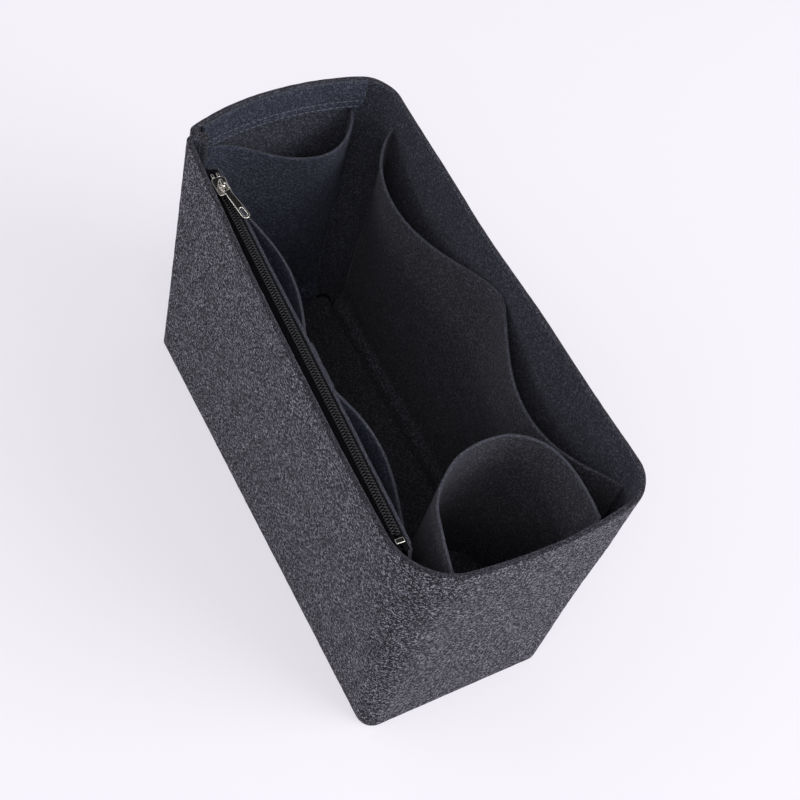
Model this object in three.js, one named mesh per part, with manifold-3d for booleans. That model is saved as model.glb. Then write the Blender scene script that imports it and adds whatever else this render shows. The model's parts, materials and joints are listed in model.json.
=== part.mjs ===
// An open felt organizer that stands inside a handbag: a soft box without a lid, with a zip pocket and
// slip pockets along its long walls, a slip pocket on one short wall and a bottle loop on the other.
// Millimetres. The zip wall faces -Y, the bottle loop is at +X, +Z is up, and z = 0 is the floor.
import * as THREE from "three";
import { mergeVertices } from "three/addons/utils/BufferGeometryUtils.js";
import Module from "manifold-3d";

// The felt box
const HEIGHT = 165;
const BASE_LENGTH = 230;
const BASE_WIDTH = 97.5;
const BASE_CORNER = 8; // reach of the rounding at the three folded corners, at the floor
const FELT = 2.5; // wall and base
const THIN_FELT = 1.5; // everything sewn inside
const FIT_GAP = 0.3; // left free between pieces that touch

// The rim is larger than the base: lean of each corner, reach of its rounding, and bow of each wall
const LEAN_LENGTHWISE = 0.9;
const SEWN_FOOT_OUT = 5; // the foot of the sewn corner stands out lengthwise
const LEAN_FRONT_FAR = 1.4;
const LEAN_FRONT_NEAR = 10.6;
const LEAN_BACK_NEAR = 7.5;
const LEAN_BACK_FAR = 3.7;
const RIM_CORNER_FRONT_NEAR = 24;
const RIM_CORNER_BACK_NEAR = 14;
const RIM_CORNER_BACK_FAR = 13;
const BOW_FRONT = 2.6;
const BOW_NEAR_END = 7.9;
const BOW_BACK = -1.8;
const BOW_FAR_END = 9.9;

// The wall is one strip, sewn end to end at the front far corner with both ends turned in
const SEAM_CURL = 3; // outer radius of each turned end
const SEAM_ALLOWANCE = 6; // flat part of each turned end
const SEAM_TRIM = 3.5; // cut off the foot of the pieces beside the sewn corner
const BASE_LIP = 8; // edge of the base, turned up inside the wall
const THREAD = 0.4;
const THREAD_WIDTH = 0.6;

// Facing strip inside the far rim, held by two rows of stitching
const FACING_HEIGHT = 17;
const FACING_MARGIN = 8;
const FACING_ROW_DROP = 12;
const FACING_ROW_SPACING = 3.5;

// Zip pocket: a panel that hangs from the zip, parallel to the front wall
const PANEL_DROP = 8.5; // top edge below the rim
const PANEL_MARGIN_FAR = 9;
const PANEL_MARGIN_NEAR = 5;
const PANEL_LAND = 2.5; // flat strip at each end, sewn to the wall
const PANEL_RAMP = 6; // length over which it leaves the wall
const PANEL_OFFSET = 7.6; // from the wall's inner face, at the top, just past each ramp
const PANEL_GAPE = 2.6; // what the middle adds to that

// Zip: number 3 coil chain, straight, closed, with the slider at the far end
const ZIP_MARGIN_FAR = 21.5;
const ZIP_MARGIN_NEAR = 18;
const ZIP_OFFSET = 4.4; // chain centre from the wall's inner face, at the chain's ends
const ZIP_DROP = 6.5; // seat of the coils below the rim
const CHAIN_WIDTH = 4.1;
const CHAIN_HEIGHT = 1.5;
const WEDGE = 0.5; // the slider's post, which runs between the two coils
const TAPE = 0.5;
const TAPE_END = 3; // tape past the chain
const TAPE_LEG = 12; // tape turned down along the felt
const TAPE_BEND = 2.5; // where the tape turns down, from the chain's centre
const TAPE_ROW_SHARE = 0.75; // where its row of stitching lies down that leg
const STOP_LENGTH = 2.4;
const STOP_GAP = 0.6;

// Slider and pull tab
const SLIDER_LENGTH = 10;
const SLIDER_MOUTH_WIDTH = 7;
const SLIDER_TAIL_WIDTH = 5.8;
const SLIDER_ROUND = 1.2;
const PLATE = 0.8;
const LIP_WIDTH = 0.7;
const KEEL_WIDTH = 4.4;
const POST_LENGTH = 3;
const CROWN_LENGTH = 4.8;
const CROWN_WIDTH = 1.4;
const CROWN_OPENING = 1.7;
const CROWN_STRAP = 0.8;
const CROWN_CHAMFER = 0.4; // inner corners of its arch
const TAB_LENGTH = 20;
const TAB_THICKNESS = 1;
const TAB_EYE_WIDTH = 4.5;
const TAB_NECK_WIDTH = 3.2;
const TAB_TIP_WIDTH = 4.2;
const TAB_ARM = 0.75; // metal left at each side of the eye
const TAB_BAR = 0.9; // bar that passes under the crown
const TAB_EYE_LENGTH = 3.6; // bar centre to the eye's far edge
const TAB_SLOT_LENGTH = 4.5;
const TAB_SLOT_WIDTH = 1.6;
const TAB_YAW = 12; // degrees, the loose tab lies aslant to the chain
const TAB_DROOP = 3; // degrees

// Slip pockets: side seams from the wall's ends, top edges below the rim, and the slack of each scallop
const FRONT_POCKET_MARGIN_FAR = 29;
const FRONT_POCKET_MARGIN_NEAR = 15;
const FRONT_POCKET_LAND = 22; // where its middle is held flat against the zip panel
const BACK_POCKET_MARGIN_FAR = 15;
const BACK_POCKET_MARGIN_NEAR = 10.5;
const BACK_POCKET_LAND = 3;
const BACK_POCKET_DROP = 14;
const BACK_POCKET_SAG = 4; // its ends hang lower than its middle
const END_POCKET_MARGIN_BACK = 12;
const END_POCKET_MARGIN_FRONT = 9;
const POCKET_SIDE_LAND = 3; // flat strip at each side seam
const FRONT_BULGE_FAR = 16.5; // how far a scallop stands out at its crest
const FRONT_BULGE_NEAR = 16.7;
const FRONT_DIP_FAR = 18.5; // how far its edge dips
const FRONT_DIP_NEAR = 20;
const BACK_BULGE_NEAR = 17.5;
const BACK_BULGE_FAR = 20.2;
const BACK_DIP_NEAR = 11.6;
const BACK_DIP_FAR = 11.7;
const END_BULGE = 24;
const END_DIP = 10.2;
// with the crest's place as a share of the scallop, and two shape exponents
const FRONT_SCALLOPS = [
  { bulge: FRONT_BULGE_FAR, dip: FRONT_DIP_FAR, crestShare: 0.44, taper: 3, fullness: 0.55 },
  { bulge: FRONT_BULGE_NEAR, dip: FRONT_DIP_NEAR, crestShare: 0.38, taper: 2.8, fullness: 0.5 },
];
const BACK_SCALLOPS = [
  { bulge: BACK_BULGE_NEAR, dip: BACK_DIP_NEAR, crestShare: 0.47, taper: 2.7, fullness: 1.1 },
  { bulge: BACK_BULGE_FAR, dip: BACK_DIP_FAR, crestShare: 0.69, taper: 2.9, fullness: 1.2 },
];
const END_SCALLOPS = [{ bulge: END_BULGE, dip: END_DIP, crestShare: 0.24, taper: 3, fullness: 1.6 }];
const BULGE_POWER = 1.4; // how late the slack opens towards the top

// Bottle loop: a strip with both ends sewn to the near wall
const LOOP_MARGIN_FRONT = 14.7;
const LOOP_MARGIN_BACK = 21;
const LOOP_REACH = 51.2;
const LOOP_BOTTOM = 45;
const LOOP_DROP = 8;
const LOOP_TAB = 9;
const LOOP_ROW_SHARE = 0.6; // where its row of stitching lies across each sewn end
// across the loop in shares of half its width, and out from the wall in shares of its reach
const LOOP_SHARES = [
  [-1, 0],
  [-0.86, 0.38],
  [-0.71, 0.66],
  [-0.26, 0.93],
  [0.14, 1],
  [0.54, 0.97],
  [0.84, 0.82],
  [0.99, 0.6],
  [1.03, 0.33],
  [1, 0],
];

const FRONT = 0;
const NEAR_END = 1;
const BACK = 2;
const FAR_END = 3;
const SIDES = 4;

// Facets
const WALL_STEPS = 9;
const TURN_STEPS = 7;
const CURL_STEPS = 6;
const WALL_ROWS = 7;
const RING_STEPS = 3;
const HANGING_ROWS = 8;
const FACING_STEPS = 12;
const FACING_ROWS = 2;
const RAMP_STEPS = 5;
const PANEL_STEPS = 12;
const PANEL_CORNER_STEPS = 4;
const SCALLOP_STEPS = 18;
const LOOP_STEPS = 36;
const LOOP_TAB_STEPS = 3;
const LOOP_ROWS = 4;
const TAPE_STEPS = 16;
const ROW_STEPS = 12;
const UPRIGHT_STEPS = 8;
const ROUND_STEPS = 3;
const TAB_ROUND_STEPS = 5;

const BEZIER_ROUND = 0.56; // handle of a Bezier quarter turn, as a share of its reach
const PROBE = 1e-4; // step for measuring a direction along the outline
const degrees = THREE.MathUtils.degToRad;
const lerp = THREE.MathUtils.lerp;
const arc = (share) => 4 * share * (1 - share); // 0 at both ends of a span and 1 in its middle

const charcoal = { color: 0x4b4a53, roughness: 0.96, metalness: 0 };
const innerCharcoal = { color: 0x3c3d49, roughness: 0.96, metalness: 0 };
const blackNylon = { color: 0x17171a, roughness: 0.55, metalness: 0 };
const blackTape = { color: 0x1b1b1f, roughness: 0.85, metalness: 0 };
const darkThread = { color: 0x2b2b31, roughness: 0.7, metalness: 0 };
const nickel = { color: 0xb9b8b6, roughness: 0.28, metalness: 1 };

const wasm = await Module();
wasm.setup();

const organizer = new THREE.Group();
const zip = new THREE.Group();
organizer.add(zip);

function addPiece(name, geometry, look, parent = organizer) {
  const mesh = new THREE.Mesh(geometry, new THREE.MeshStandardMaterial(look));
  mesh.name = name;
  parent.add(mesh);
  return mesh;
}

function toSolid(geometry) {
  const bare = geometry.index ? geometry.toNonIndexed() : geometry.clone();
  bare.deleteAttribute("normal");
  bare.deleteAttribute("uv");
  const merged = mergeVertices(bare);
  return new wasm.Manifold(new wasm.Mesh({
    numProp: 3,
    vertProperties: new Float32Array(merged.attributes.position.array),
    triVerts: new Uint32Array(merged.index.array),
  }));
}

function toGeometry(solid) {
  const mesh = solid.getMesh();
  const geometry = new THREE.BufferGeometry();
  geometry.setAttribute("position", new THREE.BufferAttribute(new Float32Array(mesh.vertProperties), 3));
  geometry.setIndex(new THREE.BufferAttribute(new Uint32Array(mesh.triVerts), 1));
  geometry.computeVertexNormals();
  return geometry;
}

function joined(geometries) {
  return toGeometry(geometries.map(toSolid).reduce((all, one) => all.add(one)));
}

// count + 1 values from a to b
function spread(a, b, count) {
  return Array.from({ length: count + 1 }, (unused, i) => lerp(a, b, i / count));
}

// The plan outline of the wall's outer face

const baseCorners = [
  new THREE.Vector2(-BASE_LENGTH / 2, -BASE_WIDTH / 2),
  new THREE.Vector2(BASE_LENGTH / 2, -BASE_WIDTH / 2),
  new THREE.Vector2(BASE_LENGTH / 2, BASE_WIDTH / 2),
  new THREE.Vector2(-BASE_LENGTH / 2, BASE_WIDTH / 2),
];
const leans = [LEAN_FRONT_FAR, LEAN_FRONT_NEAR, LEAN_BACK_NEAR, LEAN_BACK_FAR];
const rimReaches = [0, RIM_CORNER_FRONT_NEAR, RIM_CORNER_BACK_NEAR, RIM_CORNER_BACK_FAR];
const bows = [BOW_FRONT, BOW_NEAR_END, BOW_BACK, BOW_FAR_END];

function corner(index, z) {
  const base = baseCorners[index % SIDES];
  const grown = z / HEIGHT;
  const footOut = index % SIDES === 0 ? SEWN_FOOT_OUT * (1 - grown) : 0;
  return new THREE.Vector2(
    base.x + Math.sign(base.x) * (LEAN_LENGTHWISE * grown + footOut),
    base.y + Math.sign(base.y) * leans[index % SIDES] * grown,
  );
}

function sideLength(side, z) {
  return corner(side, z).distanceTo(corner(side + 1, z));
}

// A point on one wall as if its corners were sharp. The bow grows with the square of the height.
function sidePoint(side, share, z) {
  const start = corner(side, z);
  const along = corner(side + 1, z).sub(start);
  const outward = new THREE.Vector2(along.y, -along.x).normalize();
  const bow = bows[side % SIDES] * (z / HEIGHT) ** 2 * arc(share);
  return start.addScaledVector(along, share).addScaledVector(outward, bow);
}

function sideDirection(side, share, z) {
  return sidePoint(side, share + PROBE, z).sub(sidePoint(side, share - PROBE, z)).normalize();
}

// u counts walls round the outline: 0 to 1 is the front wall, 1 to 2 the near end, and so on.
// sewnReach rounds the sewn corner too, for pieces that keep clear of its turned-in seam.
function outline(u, z, sewnReach = 0) {
  const turn = Math.round(u);
  const reach = turn % SIDES === 0 ? sewnReach : lerp(BASE_CORNER, rimReaches[turn % SIDES], z / HEIGHT);
  const sideBefore = (turn + FAR_END) % SIDES;
  const sideAfter = turn % SIDES;
  const before = reach / sideLength(sideBefore, z);
  const after = reach / sideLength(sideAfter, z);
  if (u <= turn - before || u >= turn + after) {
    const side = Math.min(Math.floor(u), FAR_END);
    return sidePoint(side, u - side, z);
  }
  const a = sidePoint(sideBefore, 1 - before, z);
  const b = sidePoint(sideAfter, after, z);
  const handleA = a.clone().addScaledVector(sideDirection(sideBefore, 1 - before, z), reach * BEZIER_ROUND);
  const handleB = b.clone().addScaledVector(sideDirection(sideAfter, after, z), -reach * BEZIER_ROUND);
  const share = u < turn ? (u - turn + before) / before / 2 : (1 + (u - turn) / after) / 2;
  return new THREE.CubicBezierCurve(a, handleA, handleB, b).getPoint(share);
}

// The point that lies depth inside the wall's outer face
function place(u, z, depth, sewnReach = 0) {
  const here = outline(u, z, sewnReach);
  const ahead = outline(u + PROBE, z, sewnReach);
  const behind = outline(Math.max(u - PROBE, 0), z, sewnReach);
  const along = ahead.sub(behind).normalize();
  return new THREE.Vector3(here.x - along.y * depth, here.y + along.x * depth, z);
}

// u of a point that lies so far from the wall's far or near corner, measured along the base
const fromStart = (side, distance) => side + distance / (side % 2 ? BASE_WIDTH : BASE_LENGTH);
const fromEnd = (side, distance) => side + 1 - distance / (side % 2 ? BASE_WIDTH : BASE_LENGTH);

// A closed sheet of even thickness. at(i, j) gives the points of its first face, and the second face
// lies on the side that the turn from i to j points to. A level sheet is thickened in plan only.
function sheet(columns, rows, at, thickness, level = true) {
  const nu = columns.length;
  const nv = rows.length;
  const first = columns.map((c) => rows.map((r) => at(c, r)));
  const second = first.map((line, i) => line.map((point, j) => {
    const before = first[Math.max(i - 1, 0)][j];
    const after = first[Math.min(i + 1, nu - 1)][j];
    const below = first[i][Math.max(j - 1, 0)];
    const above = first[i][Math.min(j + 1, nv - 1)];
    const legIn = point.clone().sub(before);
    const legOut = after.clone().sub(point);
    const up = level ? new THREE.Vector3(0, 0, 1) : above.clone().sub(below).normalize();
    const normals = [legIn, legOut].filter((leg) => leg.lengthSq() > 0).map((leg) => {
      const normal = leg.cross(up);
      if (level) {
        normal.z = 0;
      }
      return normal.normalize();
    });
    const normal = normals.reduce((sum, one) => sum.add(one), new THREE.Vector3()).normalize();
    const miter = Math.max(normal.dot(normals[0]), Math.SQRT1_2);
    return point.clone().addScaledVector(normal, -thickness / miter);
  }));
  const positions = [];
  const index = [];
  const inverted = thickness < 0;
  const face = (grid, flip) => {
    const start = positions.length / 3;
    grid.forEach((line) => line.forEach((point) => positions.push(point.x, point.y, point.z)));
    for (let i = 0; i < nu - 1; i++) {
      for (let j = 0; j < nv - 1; j++) {
        const a = start + i * nv + j;
        const [b, c, d] = [a + nv, a + nv + 1, a + 1];
        index.push(...(flip !== inverted ? [a, c, b, a, d, c] : [a, b, c, a, c, d]));
      }
    }
    return start;
  };
  const start = face(first, false);
  const other = face(second, true) - start;
  const rimOf = (a, b) => {
    const [from, to] = inverted ? [b, a] : [a, b];
    index.push(to, from, from + other, to, from + other, to + other);
  };
  for (let i = 0; i < nu - 1; i++) {
    rimOf(i * nv, (i + 1) * nv);
    rimOf((i + 1) * nv + nv - 1, i * nv + nv - 1);
  }
  for (let j = 0; j < nv - 1; j++) {
    rimOf((nu - 1) * nv + j, (nu - 1) * nv + j + 1);
    rimOf(j + 1, j);
  }
  const geometry = new THREE.BufferGeometry();
  geometry.setAttribute("position", new THREE.Float32BufferAttribute(positions, 3));
  geometry.setIndex(index);
  geometry.computeVertexNormals();
  return geometry;
}

// Heights at the base's turned-up edge: just above it, and where pieces have stepped back to the wall
const LIP_TOP = BASE_LIP + FIT_GAP;
const LIP_CLEAR = 2 * BASE_LIP;

// Outer wall

// The seam's plane halves the front far corner. Each end of the strip turns in there and runs along it.
function seam(z) {
  const apex = corner(FRONT, z);
  const frontWay = sideDirection(FRONT, 0, z);
  const farWay = sideDirection(FAR_END, 1, z).negate();
  const inward = frontWay.clone().add(farWay).normalize();
  const halfAngle = Math.acos(frontWay.dot(inward));
  const tangent = SEAM_CURL / Math.tan(halfAngle / 2);
  const handle = (4 / 3) * Math.tan((Math.PI - halfAngle) / 4) * SEAM_CURL; // follows a circular arc
  return { apex, inward, tangent, handle };
}

// Points of one turned end, from its loose edge out to the wall. side is 1 in front and -1 at the far end.
function turnedEnd(z, side) {
  const { apex, inward, tangent, handle } = seam(z);
  const aside = new THREE.Vector2(inward.y, -inward.x).multiplyScalar((side * FIT_GAP) / 2);
  const wall = side > 0 ? FRONT : FAR_END;
  const reachShare = tangent / sideLength(wall, z);
  const share = side > 0 ? reachShare : 1 - reachShare;
  const onWall = sidePoint(wall, share, z);
  const alongWall = sideDirection(wall, share, z).multiplyScalar(side);
  const atSeam = apex.clone().addScaledVector(inward, tangent).add(aside);
  const loose = atSeam.clone().addScaledVector(inward, SEAM_ALLOWANCE);
  const curl = new THREE.CubicBezierCurve(
    atSeam,
    atSeam.clone().addScaledVector(inward, -handle),
    onWall.clone().addScaledVector(alongWall, -handle),
    onWall,
  );
  return { points: [loose, ...curl.getPoints(CURL_STEPS)], share };
}

function wallPath(z) {
  const front = turnedEnd(z, 1);
  const far = turnedEnd(z, -1);
  const path = [...front.points];
  for (let side = FRONT; side <= FAR_END; side++) {
    const turnBefore = lerp(BASE_CORNER, rimReaches[side], z / HEIGHT) / sideLength(side, z);
    const turnAfter = lerp(BASE_CORNER, rimReaches[(side + 1) % SIDES], z / HEIGHT) / sideLength(side, z);
    const start = side === FRONT ? front.share : turnBefore;
    const end = side === FAR_END ? far.share : 1 - turnAfter;
    const stations = spread(side + start, side + end, WALL_STEPS);
    const kept = stations.slice(side === FRONT ? 1 : 0, side === FAR_END ? -1 : undefined);
    path.push(...kept.map((u) => outline(u, z)));
    if (side < FAR_END) {
      const next = lerp(BASE_CORNER, rimReaches[side + 1], z / HEIGHT) / sideLength(side + 1, z);
      const turn = spread(side + end, side + 1 + next, TURN_STEPS).slice(1, -1);
      path.push(...turn.map((u) => outline(u, z)));
    }
  }
  return [...path, ...far.points.reverse()];
}

const wallRows = spread(0, HEIGHT, WALL_ROWS);
const wallPaths = wallRows.map(wallPath);
const wallColumns = wallPaths[0].map((unused, i) => i);
const wallStrip = sheet(
  wallColumns,
  wallRows.map((unused, j) => j),
  (i, j) => new THREE.Vector3(wallPaths[j][i].x, wallPaths[j][i].y, wallRows[j]),
  FELT,
);

// The turned ends start above the base's turned-up edge and the pieces that step round it
const foot = seam(0);
const clearing = new THREE.BoxGeometry(
  SEAM_ALLOWANCE + SEAM_CURL,
  4 * FELT,
  2 * LIP_CLEAR,
);
clearing.translate(foot.tangent + (SEAM_ALLOWANCE + SEAM_CURL) / 2, 0, 0);
clearing.rotateZ(foot.inward.angle());
clearing.translate(foot.apex.x, foot.apex.y, 0);
addPiece("outer_wall", toGeometry(toSolid(wallStrip).subtract(toSolid(clearing))), charcoal);

// Base: a flat panel whose edge is turned up inside the wall

const SEWN_CORNER_REACH = foot.tangent + SEAM_CURL + FELT;
const lipOuter = FELT + FIT_GAP;
const lipInner = lipOuter + FELT;
const pastLip = lipInner + FIT_GAP + THREAD + FIT_GAP; // depth of pieces that stand in front of the lip

function ringStations() {
  const stations = [];
  for (let side = FRONT; side <= FAR_END; side++) {
    const length = side % 2 ? BASE_WIDTH : BASE_LENGTH;
    const before = (side === FRONT ? SEWN_CORNER_REACH : BASE_CORNER) / length;
    const after = (side === FAR_END ? SEWN_CORNER_REACH : BASE_CORNER) / length;
    const turn = spread(side, side + before, RING_STEPS);
    const straight = spread(side + before, side + 1 - after, RING_STEPS).slice(1, -1);
    const lead = spread(side + 1 - after, side + 1, RING_STEPS).slice(0, -1);
    stations.push(...turn, ...straight, ...lead);
  }
  return stations;
}

// A solid swept through rings that have equal numbers of points, closed by a flat fan at each end
function ringSolid(rings) {
  const count = rings[0].length;
  const positions = rings.flat().flatMap((point) => [point.x, point.y, point.z]);
  const index = [];
  for (let r = 0; r < rings.length - 1; r++) {
    for (let i = 0; i < count; i++) {
      const a = r * count + i;
      const b = r * count + ((i + 1) % count);
      index.push(a, b, b + count, a, b + count, a + count);
    }
  }
  [0, rings.length - 1].forEach((r) => {
    const centre = positions.length / 3;
    const middle = rings[r].reduce((sum, point) => sum.add(point), new THREE.Vector3()).divideScalar(count);
    positions.push(middle.x, middle.y, middle.z);
    for (let i = 0; i < count; i++) {
      const a = r * count + i;
      const b = r * count + ((i + 1) % count);
      index.push(...(r === 0 ? [b, a, centre] : [a, b, centre]));
    }
  });
  const geometry = new THREE.BufferGeometry();
  geometry.setAttribute("position", new THREE.Float32BufferAttribute(positions, 3));
  geometry.setIndex(index);
  geometry.computeVertexNormals();
  return geometry;
}

const baseRing = (z, depth) => ringStations().map((u) => place(u, z, depth, SEWN_CORNER_REACH));
addPiece("base_panel", ringSolid([
  baseRing(0, lipOuter),
  baseRing(BASE_LIP, lipOuter),
  baseRing(BASE_LIP, lipInner),
  baseRing(FELT, lipInner),
]), charcoal);

// Depth of a piece that hangs flat on the wall: it steps round the base's lip near the floor
const pastLipShare = (z) => THREE.MathUtils.clamp((z - LIP_TOP) / (LIP_CLEAR - LIP_TOP), 0, 1);
const wallDepth = (z) => lerp(pastLip, FELT + FIT_GAP, pastLipShare(z));

// How far a piece beside the sewn corner draws back from it near the floor
const seamTrim = (z) => SEAM_TRIM * (1 - pastLipShare(z));

const SHEET_FOOT = FELT + FIT_GAP; // lower edge of the pieces that stand on the base
const rowShares = spread(0, 1, HANGING_ROWS);

// Height of a row that runs from the base to a shaped top edge: two rows follow the lip first
function rowHeight(row, top) {
  return row < 0 ? [SHEET_FOOT, LIP_TOP][row + 2] : lerp(LIP_CLEAR, top, row);
}
const hangingRows = [-2, -1, ...rowShares];

// Facing strip
addPiece("end_facing", sheet(
  spread(fromStart(FAR_END, FACING_MARGIN), fromEnd(FAR_END, FACING_MARGIN), FACING_STEPS),
  spread(HEIGHT - FACING_HEIGHT, HEIGHT, FACING_ROWS),
  (u, z) => place(u, z, FELT + FIT_GAP),
  THIN_FELT,
), innerCharcoal);

// Zip pocket panel

const panelStart = PANEL_MARGIN_FAR;
const panelEnd = BASE_LENGTH - PANEL_MARGIN_NEAR;
const panelTop = HEIGHT - PANEL_DROP;

// Depth of the panel's wall-facing side, s millimetres along the front wall
function panelDepth(s, z) {
  const fromNearestEnd = Math.min(s - panelStart, panelEnd - s) - PANEL_LAND;
  const away = THREE.MathUtils.smoothstep(fromNearestEnd, 0, PANEL_RAMP);
  const along = (s - panelStart) / (panelEnd - panelStart);
  const atTop = FELT + PANEL_OFFSET + PANEL_GAPE * arc(along);
  const hanging = lerp(pastLip, atTop, (z - SHEET_FOOT) / (panelTop - SHEET_FOOT));
  return lerp(wallDepth(z), hanging, away);
}

const cornerStart = BASE_LENGTH - RIM_CORNER_FRONT_NEAR;
const panelColumns = [
  panelStart,
  ...spread(panelStart + PANEL_LAND, panelStart + PANEL_LAND + PANEL_RAMP, RAMP_STEPS),
  ...spread(panelStart + PANEL_LAND + PANEL_RAMP, cornerStart, PANEL_STEPS).slice(1, -1),
  ...spread(cornerStart, panelEnd - PANEL_LAND - PANEL_RAMP, PANEL_CORNER_STEPS).slice(0, -1),
  ...spread(panelEnd - PANEL_LAND - PANEL_RAMP, panelEnd - PANEL_LAND, RAMP_STEPS),
  panelEnd,
];
addPiece("zip_pocket_panel", sheet(
  panelColumns,
  hangingRows,
  (s, row) => {
    const z = rowHeight(row, panelTop);
    const trimmed = s + seamTrim(z) * (panelEnd - s) / (panelEnd - panelStart);
    return place(fromStart(FRONT, trimmed), z, panelDepth(s, z));
  },
  THIN_FELT,
), innerCharcoal);

// Slip pockets

// One scallop at a share of its width: how far the felt stands out, and how far its edge dips
function scallopAt(scallop, share) {
  const rise = scallop.taper * scallop.crestShare;
  const fall = scallop.taper - rise;
  const crest = scallop.crestShare ** rise * (1 - scallop.crestShare) ** fall;
  return {
    bulge: (scallop.bulge * share ** rise * (1 - share) ** fall) / crest,
    dip: scallop.dip * Math.sin(Math.PI * Math.min(share, 1 - PROBE)) ** scallop.fullness,
  };
}

// A pocket on one wall, from start to end in millimetres along it, with scallops parted by flat lands
function slipPocket({ side, start, end, land, scallops, top, under, besideSeam }) {
  const count = scallops.length;
  const width = (end - start - 2 * POCKET_SIDE_LAND - land * (count - 1)) / count;
  const columns = [{ s: start, bulge: 0, dip: 0 }];
  scallops.forEach((scallop, k) => {
    const from = start + POCKET_SIDE_LAND + k * (width + land);
    spread(0, 1, SCALLOP_STEPS).forEach((share) => {
      columns.push({ s: from + share * width, ...scallopAt(scallop, share) });
    });
  });
  columns.push({ s: end, bulge: 0, dip: 0 });
  return sheet(
    columns,
    hangingRows,
    ({ s, bulge, dip }, row) => {
      const z = rowHeight(row, top(s) - dip);
      const open = ((z - SHEET_FOOT) / (HEIGHT - SHEET_FOOT)) ** BULGE_POWER;
      const trim = besideSeam ? (seamTrim(z) * (s - start)) / (end - start) : 0;
      return place(fromStart(side, s - trim), z, under(s, z) + bulge * open);
    },
    THIN_FELT,
  );
}

const frontPocket = {
  side: FRONT,
  start: FRONT_POCKET_MARGIN_FAR,
  end: BASE_LENGTH - FRONT_POCKET_MARGIN_NEAR,
  land: FRONT_POCKET_LAND,
  scallops: FRONT_SCALLOPS,
  top: () => panelTop,
  under: (s, z) => panelDepth(s, z) + THIN_FELT + FIT_GAP,
};
addPiece("front_slip_pocket", slipPocket(frontPocket), innerCharcoal);

const backPocket = {
  side: BACK,
  start: BACK_POCKET_MARGIN_NEAR,
  end: BASE_LENGTH - BACK_POCKET_MARGIN_FAR,
  land: BACK_POCKET_LAND,
  scallops: BACK_SCALLOPS,
  top: (s) => HEIGHT - BACK_POCKET_DROP - BACK_POCKET_SAG * (1 - arc(s / BASE_LENGTH)),
  under: (s, z) => wallDepth(z),
};
addPiece("back_slip_pocket", slipPocket(backPocket), innerCharcoal);

const endPocket = {
  side: FAR_END,
  start: END_POCKET_MARGIN_BACK,
  end: BASE_WIDTH - END_POCKET_MARGIN_FRONT,
  land: 0,
  scallops: END_SCALLOPS,
  top: () => HEIGHT - FACING_HEIGHT - FIT_GAP,
  under: (s, z) => wallDepth(z),
  besideSeam: true,
};
addPiece("end_slip_pocket", slipPocket(endPocket), innerCharcoal);

// Bottle loop: both ends are turned in and sewn flat to the near wall

const loopStart = fromStart(NEAR_END, LOOP_MARGIN_FRONT);
const loopEnd = fromEnd(NEAR_END, LOOP_MARGIN_BACK);
const loopTabShare = LOOP_TAB / BASE_WIDTH;

function loopPath(z) {
  const from = place(loopStart, z, FELT + FIT_GAP);
  const to = place(loopEnd, z, FELT + FIT_GAP);
  const middle = from.clone().add(to).divideScalar(2);
  const across = to.clone().sub(middle);
  const out = new THREE.Vector3(-across.y, across.x, 0).normalize();
  const points = LOOP_SHARES.map(([a, b]) => middle.clone()
    .addScaledVector(across, a)
    .addScaledVector(out, b * LOOP_REACH));
  const tab = (u, way) => spread(u + way * loopTabShare, u, LOOP_TAB_STEPS).slice(0, -1)
    .map((at) => place(at, z, FELT + FIT_GAP));
  const free = new THREE.CatmullRomCurve3(points, false, "centripetal").getPoints(LOOP_STEPS);
  return [...tab(loopStart, 1), ...free, ...tab(loopEnd, -1).reverse()];
}

const loopRows = spread(LOOP_BOTTOM, HEIGHT - LOOP_DROP, LOOP_ROWS);
const loopPaths = loopRows.map(loopPath);
addPiece("bottle_loop", sheet(
  loopPaths[0].map((unused, i) => i),
  loopRows.map((unused, j) => j),
  (i, j) => loopPaths[j][i],
  -THIN_FELT,
), innerCharcoal);

// Zip: its frame has x along the chain from the far end, y into the box and z up from the coils' seat

const zipHeight = HEIGHT - ZIP_DROP;
const zipStart = place(fromStart(FRONT, ZIP_MARGIN_FAR), zipHeight, FELT + ZIP_OFFSET);
const zipEnd = place(fromEnd(FRONT, ZIP_MARGIN_NEAR), zipHeight, FELT + ZIP_OFFSET);
const chainLength = zipStart.distanceTo(zipEnd);
zip.position.copy(zipStart);
zip.rotation.z = Math.atan2(zipEnd.y - zipStart.y, zipEnd.x - zipStart.x);
zip.updateMatrixWorld(true);
const zipPoint = (x, y, z) => zip.localToWorld(new THREE.Vector3(x, y, z));

const coilInner = WEDGE / 2 + FIT_GAP;
const coilWidth = CHAIN_WIDTH / 2 - coilInner;
const coilLength = chainLength - 2 * (STOP_LENGTH + FIT_GAP);

// Tapes: flat beside the chain, then turned down along the felt. way is -1 at the wall and 1 at the panel.
function tape(way, legDepth) {
  const onFlat = (aside) => (x) => zipPoint(x, way * aside, -FIT_GAP - TAPE);
  const onLeg = (drop) => (x) => {
    const s = lerp(ZIP_MARGIN_FAR, BASE_LENGTH - ZIP_MARGIN_NEAR, x / chainLength);
    const z = zipHeight - drop;
    return place(fromStart(FRONT, s), z, legDepth(s, z));
  };
  const section = [
    onFlat(coilInner),
    onFlat(TAPE_BEND),
    onLeg(2 * TAPE + TAPE_BEND),
    onLeg(TAPE_LEG / 2),
    onLeg(TAPE_LEG),
  ];
  return sheet(
    spread(-TAPE_END, chainLength + TAPE_END, TAPE_STEPS),
    way > 0 ? section : section.toReversed(),
    (x, pointAt) => pointAt(x),
    -TAPE,
    false,
  );
}
const wallLegDepth = () => FELT + FIT_GAP + TAPE;
const panelLegDepth = (s, z) => panelDepth(s, z) - FIT_GAP - TAPE;
addPiece("zip_tape_wall_side", tape(-1, wallLegDepth), blackTape);
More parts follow.
